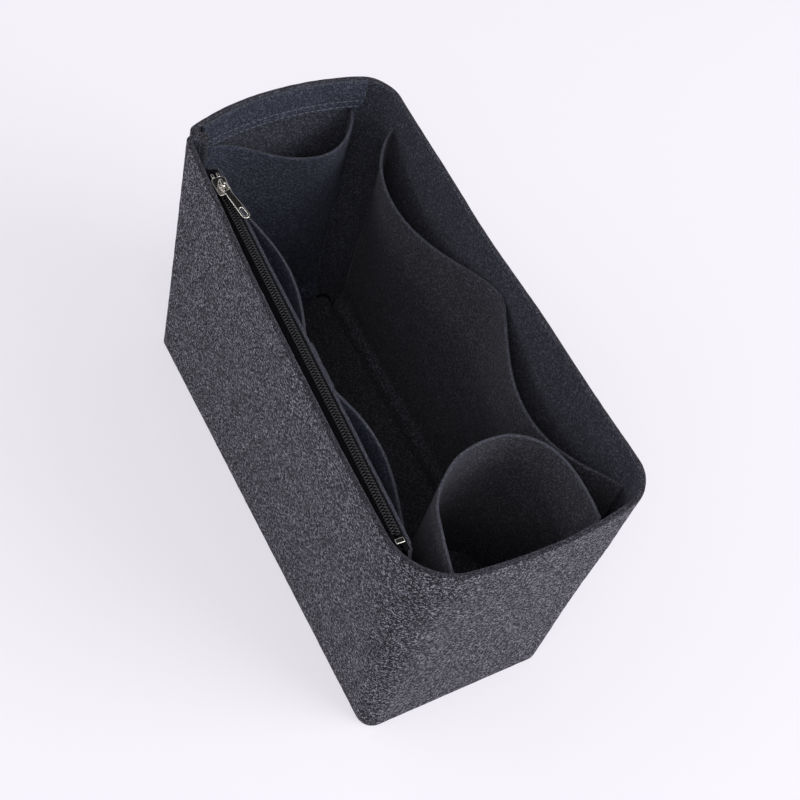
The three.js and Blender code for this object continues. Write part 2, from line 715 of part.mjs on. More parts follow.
addPiece("zip_tape_pocket_side", tape(1, panelLegDepth), blackTape);

// A bar with a rounded top that lies on the tape beside the chain's centre
function bar(length, width, height) {
  const profile = new THREE.Shape();
  profile.moveTo(0, 0);
  profile.lineTo(0, height / 2);
  profile.quadraticCurveTo(0, height, width / 2, height);
  profile.quadraticCurveTo(width, height, width, height / 2);
  profile.lineTo(width, 0);
  const geometry = new THREE.ExtrudeGeometry(profile, {
    depth: length,
    bevelEnabled: false,
    curveSegments: ROUND_STEPS,
  });
  geometry.rotateX(Math.PI / 2);
  geometry.rotateZ(Math.PI / 2);
  return geometry;
}

for (const [name, way] of [["wall_side", -1], ["pocket_side", 1]]) {
  const inner = way > 0 ? coilInner : -coilInner - coilWidth;
  const coil = addPiece("zip_coil_" + name, bar(coilLength, coilWidth, CHAIN_HEIGHT), blackNylon, zip);
  coil.position.set(STOP_LENGTH + FIT_GAP, inner, 0);
  const stop = addPiece("zip_top_stop_" + name, bar(STOP_LENGTH, coilWidth, CHAIN_HEIGHT), nickel, zip);
  stop.position.set(0, inner, 0);
}
const bottomStop = addPiece("zip_bottom_stop", bar(STOP_LENGTH, CHAIN_WIDTH, CHAIN_HEIGHT), nickel, zip);
bottomStop.position.set(chainLength - STOP_LENGTH, -CHAIN_WIDTH / 2, 0);

// Slider: two plates joined by a post between the coils, with lips down past the coils and a crown on top

const plateSeat = CHAIN_HEIGHT + FIT_GAP;
const plateTop = plateSeat + PLATE;
const keelTop = -2 * FIT_GAP - TAPE;
const sliderCentre = STOP_LENGTH + STOP_GAP + SLIDER_LENGTH / 2;

function plateShape(mouth, tail, length, round) {
  const shape = new THREE.Shape();
  shape.moveTo(-length / 2 + round, -mouth / 2);
  shape.lineTo(length / 2 - round, -tail / 2);
  shape.quadraticCurveTo(length / 2, -tail / 2, length / 2, -tail / 2 + round);
  shape.lineTo(length / 2, tail / 2 - round);
  shape.quadraticCurveTo(length / 2, tail / 2, length / 2 - round, tail / 2);
  shape.lineTo(-length / 2 + round, mouth / 2);
  shape.quadraticCurveTo(-length / 2, mouth / 2, -length / 2, mouth / 2 - round);
  shape.lineTo(-length / 2, -mouth / 2 + round);
  shape.quadraticCurveTo(-length / 2, -mouth / 2, -length / 2 + round, -mouth / 2);
  return shape;
}

function extruded(shape, depth, lift, curveSegments = ROUND_STEPS) {
  const geometry = new THREE.ExtrudeGeometry(shape, { depth, bevelEnabled: false, curveSegments });
  geometry.translate(0, 0, lift);
  return geometry;
}

function boxAt(length, width, height, x, y, z) {
  const geometry = new THREE.BoxGeometry(length, width, height);
  geometry.translate(x, y, z);
  return geometry;
}

const topPlate = extruded(
  plateShape(SLIDER_MOUTH_WIDTH, SLIDER_TAIL_WIDTH, SLIDER_LENGTH, SLIDER_ROUND),
  PLATE,
  plateSeat,
);
const keel = extruded(
  plateShape(KEEL_WIDTH, KEEL_WIDTH, SLIDER_LENGTH, SLIDER_ROUND),
  PLATE,
  keelTop - PLATE,
);
const postHeight = plateTop - keelTop;
const post = boxAt(POST_LENGTH, WEDGE, postHeight, 0, 0, keelTop + postHeight / 2 - PLATE / 2);
const lipCentre = CHAIN_WIDTH / 2 + FIT_GAP + LIP_WIDTH / 2;
const lipLength = SLIDER_LENGTH - 2 * SLIDER_ROUND;
const lips = [-1, 1].map((way) => boxAt(
  lipLength,
  LIP_WIDTH,
  plateSeat + PLATE / 2,
  0,
  way * lipCentre,
  (plateSeat + PLATE / 2) / 2,
));

// The crown is a low arch along the slider. It is drawn from the side and given its width.
const crownHeight = CROWN_OPENING + CROWN_STRAP;
const arch = new THREE.Shape();
arch.moveTo(-CROWN_LENGTH / 2, -PLATE / 2);
arch.lineTo(-CROWN_LENGTH / 2 + CROWN_STRAP, -PLATE / 2);
arch.lineTo(-CROWN_LENGTH / 2 + CROWN_STRAP, CROWN_OPENING - CROWN_CHAMFER);
arch.lineTo(-CROWN_LENGTH / 2 + CROWN_STRAP + CROWN_CHAMFER, CROWN_OPENING);
arch.lineTo(CROWN_LENGTH / 2 - CROWN_STRAP - CROWN_CHAMFER, CROWN_OPENING);
arch.lineTo(CROWN_LENGTH / 2 - CROWN_STRAP, CROWN_OPENING - CROWN_CHAMFER);
arch.lineTo(CROWN_LENGTH / 2 - CROWN_STRAP, -PLATE / 2);
arch.lineTo(CROWN_LENGTH / 2, -PLATE / 2);
arch.lineTo(CROWN_LENGTH / 2, CROWN_OPENING);
arch.quadraticCurveTo(CROWN_LENGTH / 2, crownHeight, CROWN_LENGTH / 2 - CROWN_STRAP, crownHeight);
arch.lineTo(-CROWN_LENGTH / 2 + CROWN_STRAP, crownHeight);
arch.quadraticCurveTo(-CROWN_LENGTH / 2, crownHeight, -CROWN_LENGTH / 2, CROWN_OPENING);
const crown = extruded(arch, CROWN_WIDTH, -CROWN_WIDTH / 2);
crown.rotateX(Math.PI / 2);
crown.translate(0, 0, plateTop);

const slider = new THREE.Group();
slider.position.x = sliderCentre;
zip.add(slider);
addPiece("zip_slider", joined([topPlate, ...lips, post, keel, crown]), nickel, slider);

// Pull tab: a flat strap whose eye bar passes under the crown, drawn from the bar's centre

const tabOutline = new THREE.Shape();
const eyeEnd = TAB_EYE_LENGTH + TAB_ARM;
tabOutline.moveTo(-TAB_BAR / 2, -TAB_EYE_WIDTH / 2);
tabOutline.lineTo(TAB_EYE_LENGTH, -TAB_EYE_WIDTH / 2);
tabOutline.quadraticCurveTo(eyeEnd, -TAB_EYE_WIDTH / 2, eyeEnd + TAB_ARM, -TAB_NECK_WIDTH / 2);
tabOutline.lineTo(TAB_LENGTH - TAB_TIP_WIDTH / 2, -TAB_TIP_WIDTH / 2);
tabOutline.absarc(TAB_LENGTH - TAB_TIP_WIDTH / 2, 0, TAB_TIP_WIDTH / 2, -Math.PI / 2, Math.PI / 2, false);
tabOutline.lineTo(eyeEnd + TAB_ARM, TAB_NECK_WIDTH / 2);
tabOutline.quadraticCurveTo(eyeEnd, TAB_EYE_WIDTH / 2, TAB_EYE_LENGTH, TAB_EYE_WIDTH / 2);
tabOutline.lineTo(-TAB_BAR / 2, TAB_EYE_WIDTH / 2);

const eye = new THREE.Path();
const eyeHalf = TAB_EYE_WIDTH / 2 - TAB_ARM;
eye.moveTo(TAB_BAR / 2, -eyeHalf);
eye.lineTo(TAB_EYE_LENGTH, -eyeHalf);
eye.lineTo(TAB_EYE_LENGTH, eyeHalf);
eye.lineTo(TAB_BAR / 2, eyeHalf);

const slot = new THREE.Path();
const slotEnd = TAB_LENGTH - TAB_TIP_WIDTH / 2;
const slotStart = slotEnd - TAB_SLOT_LENGTH + TAB_SLOT_WIDTH;
slot.absarc(slotEnd, 0, TAB_SLOT_WIDTH / 2, -Math.PI / 2, Math.PI / 2, false);
slot.absarc(slotStart, 0, TAB_SLOT_WIDTH / 2, Math.PI / 2, Math.PI * 1.5, false);
tabOutline.holes.push(eye, slot);

const tabGeometry = extruded(tabOutline, TAB_THICKNESS, -TAB_THICKNESS / 2, TAB_ROUND_STEPS);
const pullTab = addPiece("zip_pull_tab", tabGeometry, nickel, slider);
pullTab.position.z = plateTop + CROWN_OPENING - TAB_THICKNESS / 2 - FIT_GAP;
pullTab.rotation.set(0, degrees(TAB_DROOP), degrees(TAB_YAW), "ZYX");

// Stitching: each row is a thin flat run of thread, laid on the face of the piece that it holds

const onSheet = FIT_GAP + THIN_FELT; // from a thin piece's hidden face to a thread in front of it

// A row along the wall at one height
function levelRow(name, side, from, to, z, depth, steps = ROW_STEPS) {
  addPiece(name, sheet(
    spread(from, to, steps),
    [z - THREAD_WIDTH / 2, z + THREAD_WIDTH / 2],
    (s, height) => place(fromStart(side, s), height, depth(s, height)),
    THREAD,
  ), darkThread);
}

// A row up the wall, clear of the base's lip and of the edge above
function uprightRow(name, side, s, from, to, depth) {
  addPiece(name, sheet(
    [s - THREAD_WIDTH / 2, s + THREAD_WIDTH / 2],
    spread(from, to, UPRIGHT_STEPS),
    (at, z) => place(fromStart(side, at), z, depth(at, z)),
    THREAD,
  ), darkThread);
}

const facingDepth = () => FELT + FIT_GAP + onSheet;
const facingFrom = FACING_MARGIN + THIN_FELT;
const facingTo = BASE_WIDTH - FACING_MARGIN - THIN_FELT;
[["upper", 0], ["lower", 1]].forEach(([name, row]) => {
  const z = HEIGHT - FACING_ROW_DROP - row * FACING_ROW_SPACING;
  levelRow("facing_stitch_" + name, FAR_END, facingFrom, facingTo, z, facingDepth);
});

const rowFoot = LIP_CLEAR;
const sideInset = POCKET_SIDE_LAND / 2;
const pocketRows = [
  ["front_pocket_stitch_far", frontPocket, frontPocket.start + sideInset],
  ["front_pocket_stitch_middle", frontPocket, (frontPocket.start + frontPocket.end) / 2],
  ["front_pocket_stitch_near", frontPocket, frontPocket.end - sideInset],
  ["back_pocket_stitch_near", backPocket, backPocket.start + sideInset],
  ["back_pocket_stitch_middle", backPocket, (backPocket.start + backPocket.end) / 2],
  ["back_pocket_stitch_far", backPocket, backPocket.end - sideInset],
  ["end_pocket_stitch_back", endPocket, endPocket.start + sideInset],
  ["end_pocket_stitch_front", endPocket, endPocket.end - sideInset],
];
pocketRows.forEach(([name, pocket, s]) => {
  const depth = (at, z) => pocket.under(at, z) + onSheet;
  uprightRow(name, pocket.side, s, rowFoot, pocket.top(s) - THIN_FELT, depth);
});

const panelRowDepth = (s, z) => panelDepth(s, z) + onSheet;
const panelRows = [["far", panelStart + PANEL_LAND / 2], ["near", panelEnd - PANEL_LAND / 2]];
panelRows.forEach(([name, s]) => {
  uprightRow("zip_panel_stitch_" + name, FRONT, s, rowFoot, panelTop - THIN_FELT, panelRowDepth);
});

const legRow = zipHeight - TAPE_LEG * TAPE_ROW_SHARE;
const legRows = [
  ["wall_side", () => wallLegDepth() + FIT_GAP],
  ["pocket_side", (s, z) => panelLegDepth(s, z) - FIT_GAP - THREAD],
];
legRows.forEach(([name, depth]) => {
  const end = BASE_LENGTH - ZIP_MARGIN_NEAR;
  levelRow("zip_stitch_" + name, FRONT, ZIP_MARGIN_FAR, end, legRow, depth, TAPE_STEPS);
});

const loopRowInset = LOOP_TAB * LOOP_ROW_SHARE;
const loopRowEnds = [LOOP_BOTTOM + THIN_FELT, HEIGHT - LOOP_DROP - THIN_FELT];
const loopStitches = [
  ["front", LOOP_MARGIN_FRONT + loopRowInset],
  ["back", BASE_WIDTH - LOOP_MARGIN_BACK - loopRowInset],
];
loopStitches.forEach(([name, s]) => {
  uprightRow("loop_stitch_" + name, NEAR_END, s, ...loopRowEnds, facingDepth);
});

// A closed ring of rectangular section on the wall's outline
function closedBand(stations, low, high, depth, thickness) {
  const sections = stations.map((u) => [
    place(u, low, depth, SEWN_CORNER_REACH),
    place(u, low, depth + thickness, SEWN_CORNER_REACH),
    place(u, high, depth + thickness, SEWN_CORNER_REACH),
    place(u, high, depth, SEWN_CORNER_REACH),
  ]);
  const edges = sections[0].length;
  const positions = sections.flat().flatMap((point) => [point.x, point.y, point.z]);
  const index = [];
  sections.forEach((unused, i) => {
    const next = (i + 1) % sections.length;
    for (let k = 0; k < edges; k++) {
      const a = i * edges + k;
      const b = i * edges + ((k + 1) % edges);
      const c = next * edges + ((k + 1) % edges);
      const d = next * edges + k;
      index.push(a, b, c, a, c, d);
    }
  });
  const geometry = new THREE.BufferGeometry();
  geometry.setAttribute("position", new THREE.Float32BufferAttribute(positions, 3));
  geometry.setIndex(index);
  geometry.computeVertexNormals();
  return geometry;
}

// Base seam: one row round the inside of the lip
const seamLow = (FELT + BASE_LIP) / 2;
const seamBand = closedBand(ringStations(), seamLow, seamLow + THREAD_WIDTH, lipInner + FIT_GAP, THREAD);
addPiece("base_seam_stitch", seamBand, darkThread);

// Corner seam: one row up the turned-in ends, on the front end's face
const seamThread = sheet(
  [0, 1],
  spread(LIP_CLEAR + THIN_FELT, HEIGHT - THIN_FELT, UPRIGHT_STEPS),
  (edge, z) => {
    const { apex, inward, tangent } = seam(z);
    const aside = new THREE.Vector2(inward.y, -inward.x);
    const point = apex.addScaledVector(inward, tangent + SEAM_ALLOWANCE / 2 + edge * THREAD_WIDTH)
      .addScaledVector(aside, FIT_GAP / 2 + FELT + FIT_GAP);
    return new THREE.Vector3(point.x, point.y, z);
  },
  -THREAD,
);
addPiece("corner_seam_stitch", seamThread, darkThread);

// The origin is the middle of the whole part's box, on the floor
organizer.updateMatrixWorld(true);
const bounds = new THREE.Box3().setFromObject(organizer);
const centre = bounds.getCenter(new THREE.Vector3());
organizer.position.set(-centre.x, -centre.y, -bounds.min.z);
organizer.updateMatrixWorld(true);

export default organizer;
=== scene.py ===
# %% [markdown]
# # A felt organizer insert for a handbag
# The real thing is an open box of thick charcoal felt that stands inside a bag. Pockets of thinner felt are
# sewn along its walls, a zip closes the pocket at the front, and a loop of felt at one end holds a bottle.
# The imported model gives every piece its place. This script makes the surfaces that the eye sees: felt with
# cut edges, single stitches, coil turns of the zip and a polished slider.

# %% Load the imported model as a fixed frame
import json
import math

import bmesh
import bpy
import numpy as np
from mathutils import Matrix, Vector, noise


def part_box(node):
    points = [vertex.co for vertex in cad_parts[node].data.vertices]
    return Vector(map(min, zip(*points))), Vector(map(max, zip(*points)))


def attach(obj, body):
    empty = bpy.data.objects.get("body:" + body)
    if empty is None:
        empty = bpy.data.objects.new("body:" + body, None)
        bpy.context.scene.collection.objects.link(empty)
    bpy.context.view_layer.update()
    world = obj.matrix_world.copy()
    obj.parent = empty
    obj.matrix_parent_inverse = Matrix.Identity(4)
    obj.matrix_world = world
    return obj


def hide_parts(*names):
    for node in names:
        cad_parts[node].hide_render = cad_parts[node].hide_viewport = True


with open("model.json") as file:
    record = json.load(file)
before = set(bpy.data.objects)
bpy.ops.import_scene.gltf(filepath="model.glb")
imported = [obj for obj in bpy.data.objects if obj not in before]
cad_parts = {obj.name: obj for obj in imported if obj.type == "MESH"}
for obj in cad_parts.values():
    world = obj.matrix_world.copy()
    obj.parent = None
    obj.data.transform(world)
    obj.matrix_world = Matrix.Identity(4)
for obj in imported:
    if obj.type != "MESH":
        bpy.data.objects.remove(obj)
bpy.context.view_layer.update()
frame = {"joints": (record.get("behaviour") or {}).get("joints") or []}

# %% [markdown]
# ## Units and small helpers
# Felt, thread and zips are measured in millimetres, so every shape below is worked out in millimetres and
# turned to metres when its mesh is made.

# %% Units and helpers
MM = 0.001


def lerp(a, b, share):
    return a + (b - a) * share


def arc(share):
    """0 at both ends of a span and 1 in its middle."""
    return 4 * share * (1 - share)


def ease(distance, span):
    """Rises smoothly from 0 to 1 over a span."""
    share = min(max(distance / span, 0), 1)
    return share * share * (3 - 2 * share)


def spread(a, b, steps):
    """steps + 1 values from a to b."""
    return [lerp(a, b, i / steps) for i in range(steps + 1)]


def vector(plan, z):
    """A point of the plan, which is one complex number x + yj, at height z."""
    return Vector((plan.real, plan.imag, z))


# %% [markdown]
# ## Camera
# The photograph looks down into the box from above one corner. A camera was fitted to the rim and the base,
# and its numbers are given here as an angle round the box, an angle above the floor and a roll.

# %% Camera
CAMERA_AZIMUTH = math.radians(46.13)
CAMERA_ELEVATION = math.radians(56.73)
CAMERA_ROLL = math.radians(19.12)
CAMERA_LENS = 77.8
CAMERA_TARGET = Vector((4.85, 12.65, 88.0)) * MM
CAMERA_DISTANCE = 789 * MM

back = Vector((
    math.sin(CAMERA_AZIMUTH) * math.cos(CAMERA_ELEVATION),
    -math.cos(CAMERA_AZIMUTH) * math.cos(CAMERA_ELEVATION),
    math.sin(CAMERA_ELEVATION),
))
level_right = Vector((0, 0, 1)).cross(back).normalized()
level_up = back.cross(level_right)
right = level_right * math.cos(CAMERA_ROLL) + level_up * math.sin(CAMERA_ROLL)
up = back.cross(right)
camera_data = bpy.data.cameras.new("camera")
camera_data.lens = CAMERA_LENS
camera = bpy.data.objects.new("camera", camera_data)
camera_turn = Matrix((right, up, back)).transposed().to_4x4()
camera.matrix_world = Matrix.Translation(CAMERA_TARGET + back * CAMERA_DISTANCE) @ camera_turn
bpy.context.scene.collection.objects.link(camera)
bpy.context.scene.camera = camera
bpy.context.scene.view_settings.view_transform = "Standard"
print("camera at", [round(c, 3) for c in camera.location])

# %% [markdown]
# ## Colours and node trees
# Colours are written as sRGB hex values, as a colour card gives them. Blender's shaders work with linear
# light, so one function turns them. A second small function adds one node with its settings and links, which
# keeps each material below short enough to read as a recipe.


# %% Colour and node helpers
def hex_colour(code):
    """A linear RGBA colour from an sRGB hex value such as '#4b4a53'."""
    values = [int(code[i:i + 2], 16) / 255 for i in (1, 3, 5)]
    return [v / 12.92 if v <= 0.04045 else ((v + 0.055) / 1.055) ** 2.4 for v in values] + [1]


def add_node(tree, kind, inputs=(), **settings):
    """Adds a node. inputs maps a socket's name or number to a value or to the socket that feeds it."""
    node = tree.nodes.new(kind)
    for name, value in settings.items():
        setattr(node, name, value)
    for socket, source in dict(inputs).items():
        if isinstance(source, bpy.types.NodeSocket):
            tree.links.new(source, node.inputs[socket])
        else:
            node.inputs[socket].default_value = source
    return node


def new_material(name):
    """An empty material and its node tree."""
    material = bpy.data.materials.new(name)
    material.use_nodes = True
    material.node_tree.nodes.clear()
    return material, material.node_tree


def finish_material(tree, shader):
    """Links the shader to the surface."""
    add_node(tree, "ShaderNodeOutputMaterial", {"Surface": shader.outputs[0]})


# %% [markdown]
# ## The room
# The photograph was taken on a pale sweep under soft studio light. A softbox on the right and a dim even
# world light the felt at a level at which a colour renders about as it is written. In the photograph the
# sweep is nearly white, with a faint shadow on the left. More light would bleach the felt, so the sweep shows
# half of its own light and half of a white card instead, to the camera and in reflections. It keeps the
# shadow, only paler. A weak fill light beside the camera reaches the bottom of the box, which would be black
# without it. Two things are there for the metal: a thin strip light on the left draws a bright line
# along its rounded edges, and a dark patch of ceiling makes its flat faces read dark, as in the photograph.

# %% Floor, softbox and world
FLOOR_SIZE = 6000 * MM
CARD_SHARE = 0.53
SOFTBOX_SIZE = 1200 * MM
SOFTBOX_PLACE = Vector((1120, 980, 1324)) * MM
SOFTBOX_WATTS = 18.5
STRIP_LENGTH, STRIP_WIDTH = 1000 * MM, 110 * MM
STRIP_PLACE = Vector((-430, -1170, 920)) * MM
STRIP_WATTS = 2.0
FILL_SIZE = 500 * MM
FILL_WATTS = 3
FILL_DISTANCE = 1.5
WORLD_STRENGTH = 0.7
CEILING_STRENGTH = 0.02
CEILING_DIRECTION = (-0.395, 0.38, 0.836)
CEILING_REACH = (math.cos(math.radians(26)), math.cos(math.radians(19)))

floor_material, tree = new_material("pale_paper_sweep")
light_path = add_node(tree, "ShaderNodeLightPath")
seen = add_node(tree, "ShaderNodeMath", {
    0: light_path.outputs["Is Camera Ray"],
    1: light_path.outputs["Is Glossy Ray"],
}, operation="MAXIMUM")
paper = add_node(tree, "ShaderNodeBsdfPrincipled", {
    "Base Color": hex_colour("#f6f3fa"),
    "Roughness": 0.9,
    "Specular IOR Level": 0.2,
})
card = add_node(tree, "ShaderNodeEmission", {"Color": hex_colour("#fbf8fe"), "Strength": 1})
finish_material(tree, add_node(tree, "ShaderNodeMixShader", {
    0: add_node(tree, "ShaderNodeMath", {0: seen.outputs[0], 1: CARD_SHARE}, operation="MULTIPLY").outputs[0],
    1: paper.outputs[0],
    2: card.outputs[0],
}))
floor_mesh = bpy.data.meshes.new("floor")
half = FLOOR_SIZE / 2
floor_corners = [(-half, -half, 0), (half, -half, 0), (half, half, 0), (-half, half, 0)]
floor_mesh.from_pydata(floor_corners, [], [(0, 1, 2, 3)])
floor = bpy.data.objects.new("floor", floor_mesh)
floor.data.materials.append(floor_material)
bpy.context.scene.collection.objects.link(floor)

lamps = (
    ("softbox", SOFTBOX_SIZE, SOFTBOX_SIZE, SOFTBOX_PLACE, SOFTBOX_WATTS),
    ("strip_light", STRIP_LENGTH, STRIP_WIDTH, STRIP_PLACE, STRIP_WATTS),
    ("fill_light", FILL_SIZE, FILL_SIZE, back * FILL_DISTANCE, FILL_WATTS),
)
for name, length, width, spot, watts in lamps:
    lamp_data = bpy.data.lights.new(name, "AREA")
    lamp_data.shape = "RECTANGLE"
    lamp_data.size = length
    lamp_data.size_y = width
    lamp_data.energy = watts
    lamp = bpy.data.objects.new(name, lamp_data)
    lamp.location = spot
    lamp.rotation_euler = spot.to_track_quat("Z", "Y").to_euler()
    bpy.context.scene.collection.objects.link(lamp)

world = bpy.data.worlds.new("studio")
world.use_nodes = True
tree = world.node_tree
tree.nodes.clear()
towards_ceiling = add_node(tree, "ShaderNodeVectorMath", {
    0: add_node(tree, "ShaderNodeTexCoord").outputs["Generated"],
    1: CEILING_DIRECTION,
}, operation="DOT_PRODUCT")
brightness = add_node(tree, "ShaderNodeMapRange", {
    "Value": towards_ceiling.outputs["Value"],
    "From Min": CEILING_REACH[0],
    "From Max": CEILING_REACH[1],
    "To Min": WORLD_STRENGTH,
    "To Max": CEILING_STRENGTH,
})
sky = add_node(tree, "ShaderNodeBackground", {
    "Color": hex_colour("#fbfaff"),
    "Strength": brightness.outputs[0],
})
add_node(tree, "ShaderNodeOutputWorld", {"Surface": sky.outputs[0]})
bpy.context.scene.world = world

# %% [markdown]
# ## Felt
# The box is needle-punched polyester felt: crimped fibres of several greys, matted by barbed needles. From a
# step away the mix reads as heather, which is a dark ground with short pale curls that mostly follow the
# length of the strip. A random speckle would be simpler, but real flecks are thin and bent. The lines where a
# noise crosses its middle value are thin, even and curly, so they make the fibres, and a second noise breaks
# them into short lengths. A few layers at different angles lie over each other. The surface is rough and has
# no gloss, and a faint sheen stands for the loose fibre ends that catch light at a grazing angle. The thick
# felt of the wall has the strongest contrast outside. Its inner face is the same felt with painted shade and
# bluish light: less contrast and a bluer tint. The base's upper face is painted darker and neutral, as the
# shade at the bottom of the box. The thin felts have less contrast, and their tint is painted light: bluer on
# the pieces that face the front and the far end, less blue on the back pocket and the loop.

# %% Felt material
FIBRE_CURL_ALONG, FIBRE_CURL_ACROSS = 3.6, 2.0  # size of the curls along the strip and across it
FIBRE_WIDTH = 0.25  # as drawn; real bundles are nearer 0.1 mm, which is too fine to show at this size
FIBRE_LENGTH = 1.6  # spacing of the breaks along a fibre
FIBRE_TURNS = (-38, -12, 9, 30, 64)  # degrees from the strip's length, one layer each
# levels of the breaking noise between which a fibre fades in: a higher start leaves fewer fibres, in clumps
EVEN_BREAKS, CLUMPED_BREAKS = (0.51, 0.62), (0.55, 0.61)
NOISE_SLOPE = 0.22  # of the noise near its middle value, for each size of a curl
LAYER_OFFSET = 0.11  # metres between the places that the layers take from the same noise
MOTTLE_SPACING = 9  # soft patches with more and fewer pale fibres
FELT_DEPTH = 0.22  # height of the matted surface


def fibre_layer(tree, where, turn, aside, fineness, fade_in):
    """1 on one layer's fibres and 0 between them. aside moves the layer to its own part of the noise."""
    lie = add_node(tree, "ShaderNodeMapping", {
        "Vector": where,
        "Location": (aside, -aside, 0),
        "Rotation": (0, 0, math.radians(turn)),
        "Scale": (FIBRE_CURL_ALONG * MM / fineness, FIBRE_CURL_ACROSS * MM / fineness, 1),
    }, vector_type="TEXTURE")
    curls = add_node(tree, "ShaderNodeTexNoise", {
        "Vector": lie.outputs[0],
        "Scale": 1,
        "Detail": 1,
    }, noise_dimensions="2D")
    from_middle = add_node(tree, "ShaderNodeMath", {
        0: curls.outputs["Fac"],
        1: 0.5,
        2: FIBRE_WIDTH / FIBRE_CURL_ACROSS * NOISE_SLOPE,
    }, operation="COMPARE")
    breaks = add_node(tree, "ShaderNodeTexNoise", {
        "Vector": add_node(tree, "ShaderNodeVectorMath", {
            0: where,
            1: (aside, 2 * aside, 0),
        }, operation="ADD").outputs[0],
        "Scale": fineness / (FIBRE_LENGTH * MM),
        "Detail": 1,
    }, noise_dimensions="2D")
    kept = add_node(tree, "ShaderNodeMapRange", {
        "Value": breaks.outputs["Fac"],
        "From Min": fade_in[0],
        "From Max": fade_in[1],
    })
    return add_node(tree, "ShaderNodeMath", {
        0: from_middle.outputs[0],
        1: kept.outputs[0],
    }, operation="MULTIPLY").outputs[0]


def felt_material(name, ground, pale, deep, fineness=1.3, fade_in=EVEN_BREAKS):
    """Heather felt. A finer one has smaller and thinner fibres, and a clumped one has fewer in each layer."""
    material, tree = new_material(name)
    where = add_node(tree, "ShaderNodeTexCoord").outputs["UV"]
    fibres = None
    for k, turn in enumerate(FIBRE_TURNS):
        layer = fibre_layer(tree, where, turn, LAYER_OFFSET * (k + 1), fineness, fade_in)
        fibres = layer if fibres is None else add_node(tree, "ShaderNodeMath", {
            0: fibres,
            1: layer,
        }, operation="MAXIMUM").outputs[0]
    mottle = add_node(tree, "ShaderNodeTexNoise", {
        "Vector": where,
        "Scale": 1 / (MOTTLE_SPACING * MM),
        "Detail": 3,
    }, noise_dimensions="2D")
    patches = add_node(tree, "ShaderNodeMapRange", {
        "Value": mottle.outputs["Fac"],
        "From Min": 0.3,
        "From Max": 0.7,
        "To Min": 0.7,
        "To Max": 1.0,
    })
    matted = add_node(tree, "ShaderNodeTexNoise", {
        "Vector": where,
        "Scale": 1 / (2 * FIBRE_WIDTH * MM),
        "Detail": 2,
    }, noise_dimensions="2D")
    ground_colour = add_node(tree, "ShaderNodeMix", {
        "Factor": matted.outputs["Fac"],
        "A": hex_colour(deep),
        "B": hex_colour(ground),
    }, data_type="RGBA")
    pale_share = add_node(tree, "ShaderNodeMath", {
        0: fibres,
        1: patches.outputs[0],
    }, operation="MULTIPLY")
    colour = add_node(tree, "ShaderNodeMix", {
        "Factor": pale_share.outputs[0],
        "A": ground_colour.outputs["Result"],
        "B": hex_colour(pale),
    }, data_type="RGBA")
    height = add_node(tree, "ShaderNodeMath", {
        0: fibres,
        1: matted.outputs["Fac"],
    }, operation="ADD")
    bump = add_node(tree, "ShaderNodeBump", {
        "Strength": 0.5,
        "Distance": FELT_DEPTH * MM,
        "Height": height.outputs[0],
    })
    finish_material(tree, add_node(tree, "ShaderNodeBsdfPrincipled", {
        "Base Color": colour.outputs["Result"],
        "Roughness": 0.95,
        "Specular IOR Level": 0.15,
        "Sheen Weight": 0.08,
        "Sheen Roughness": 0.5,
        "Sheen Tint": hex_colour("#b9b8c6"),
        "Normal": bump.outputs[0],
    }))
    return material


outer_felt = felt_material("needled_charcoal_felt", "#16151a", "#9c9aa4", "#08080a", 1.1, CLUMPED_BREAKS)
# the wall's inner face: the same thick felt with painted shade and bluish light, less contrast and a bluer
# tint
inner_face_felt_with_painted_shade = felt_material("inner_face_of_thick_felt_with_painted_shade", "#35363f", "#62646f", "#282930")
# thin felt tinted bluer as painted light, for the pieces that face the front and the far end
thin_felt_painted_bluer = felt_material("thin_charcoal_felt", "#343743", "#626779", "#272933")
# the same thin felt painted less blue, for the back pocket and the loop, which face away from the bluish
# light
thin_felt_painted_less_blue = felt_material("thin_charcoal_felt_painted_less_blue", "#38383f", "#68686f", "#2a2a30")
# the base's upper face: thick felt painted darker and neutral, as the shade at the bottom of the box
base_felt_with_painted_shade = felt_material("charcoal_felt_of_the_base_with_painted_shade", "#313035", "#56555c", "#242327")


# %% [markdown]
# ## Cut edges
# Where the felt is cut, the fibres end in a denser band without a lie. Stretching the curls over the edge
# would draw lines across it, so the edges get a material of their own: a fine grain in all directions.

# %% Cut edge material
EDGE_GRAIN = 0.45


def cut_edge_material(name, ground, pale):
    material, tree = new_material(name)
    grain = add_node(tree, "ShaderNodeTexNoise", {
        "Vector": add_node(tree, "ShaderNodeTexCoord").outputs["Object"],
        "Scale": 1 / (EDGE_GRAIN * MM),
        "Detail": 2,
    })
    level = add_node(tree, "ShaderNodeMapRange", {
        "Value": grain.outputs["Fac"],
        "From Min": 0.52,
        "From Max": 0.68,
    })
    colour = add_node(tree, "ShaderNodeMix", {
        "Factor": level.outputs[0],
        "A": hex_colour(ground),
        "B": hex_colour(pale),
    }, data_type="RGBA")
    bump = add_node(tree, "ShaderNodeBump", {
        "Strength": 0.5,
        "Distance": FELT_DEPTH * MM,
        "Height": grain.outputs["Fac"],
    })
    finish_material(tree, add_node(tree, "ShaderNodeBsdfPrincipled", {
        "Base Color": colour.outputs["Result"],
        "Roughness": 0.95,
        "Specular IOR Level": 0.15,
        "Sheen Weight": 0.08,
        "Normal": bump.outputs[0],
    }))
    return material


outer_edge = cut_edge_material("cut_edge_of_thick_felt", "#201f24", "#66646e")
inner_edge = cut_edge_material("cut_edge_of_thin_felt", "#33343c", "#666771")

# %% [markdown]
# ## The plan of the box
# The base is a rectangle. Going up, the corners lean out, their rounding grows and the walls bow, because
# felt is soft and the front wall is pulled by the zip. The four walls are one strip, counted round the plan
# as u: 0 to 1 is the front wall, 1 to 2 the near end, 2 to 3 the back and 3 to 4 the far end. A point of the
# plan is one complex number, x + yj: a quarter turn is then a product with 1j, which keeps the sums short.

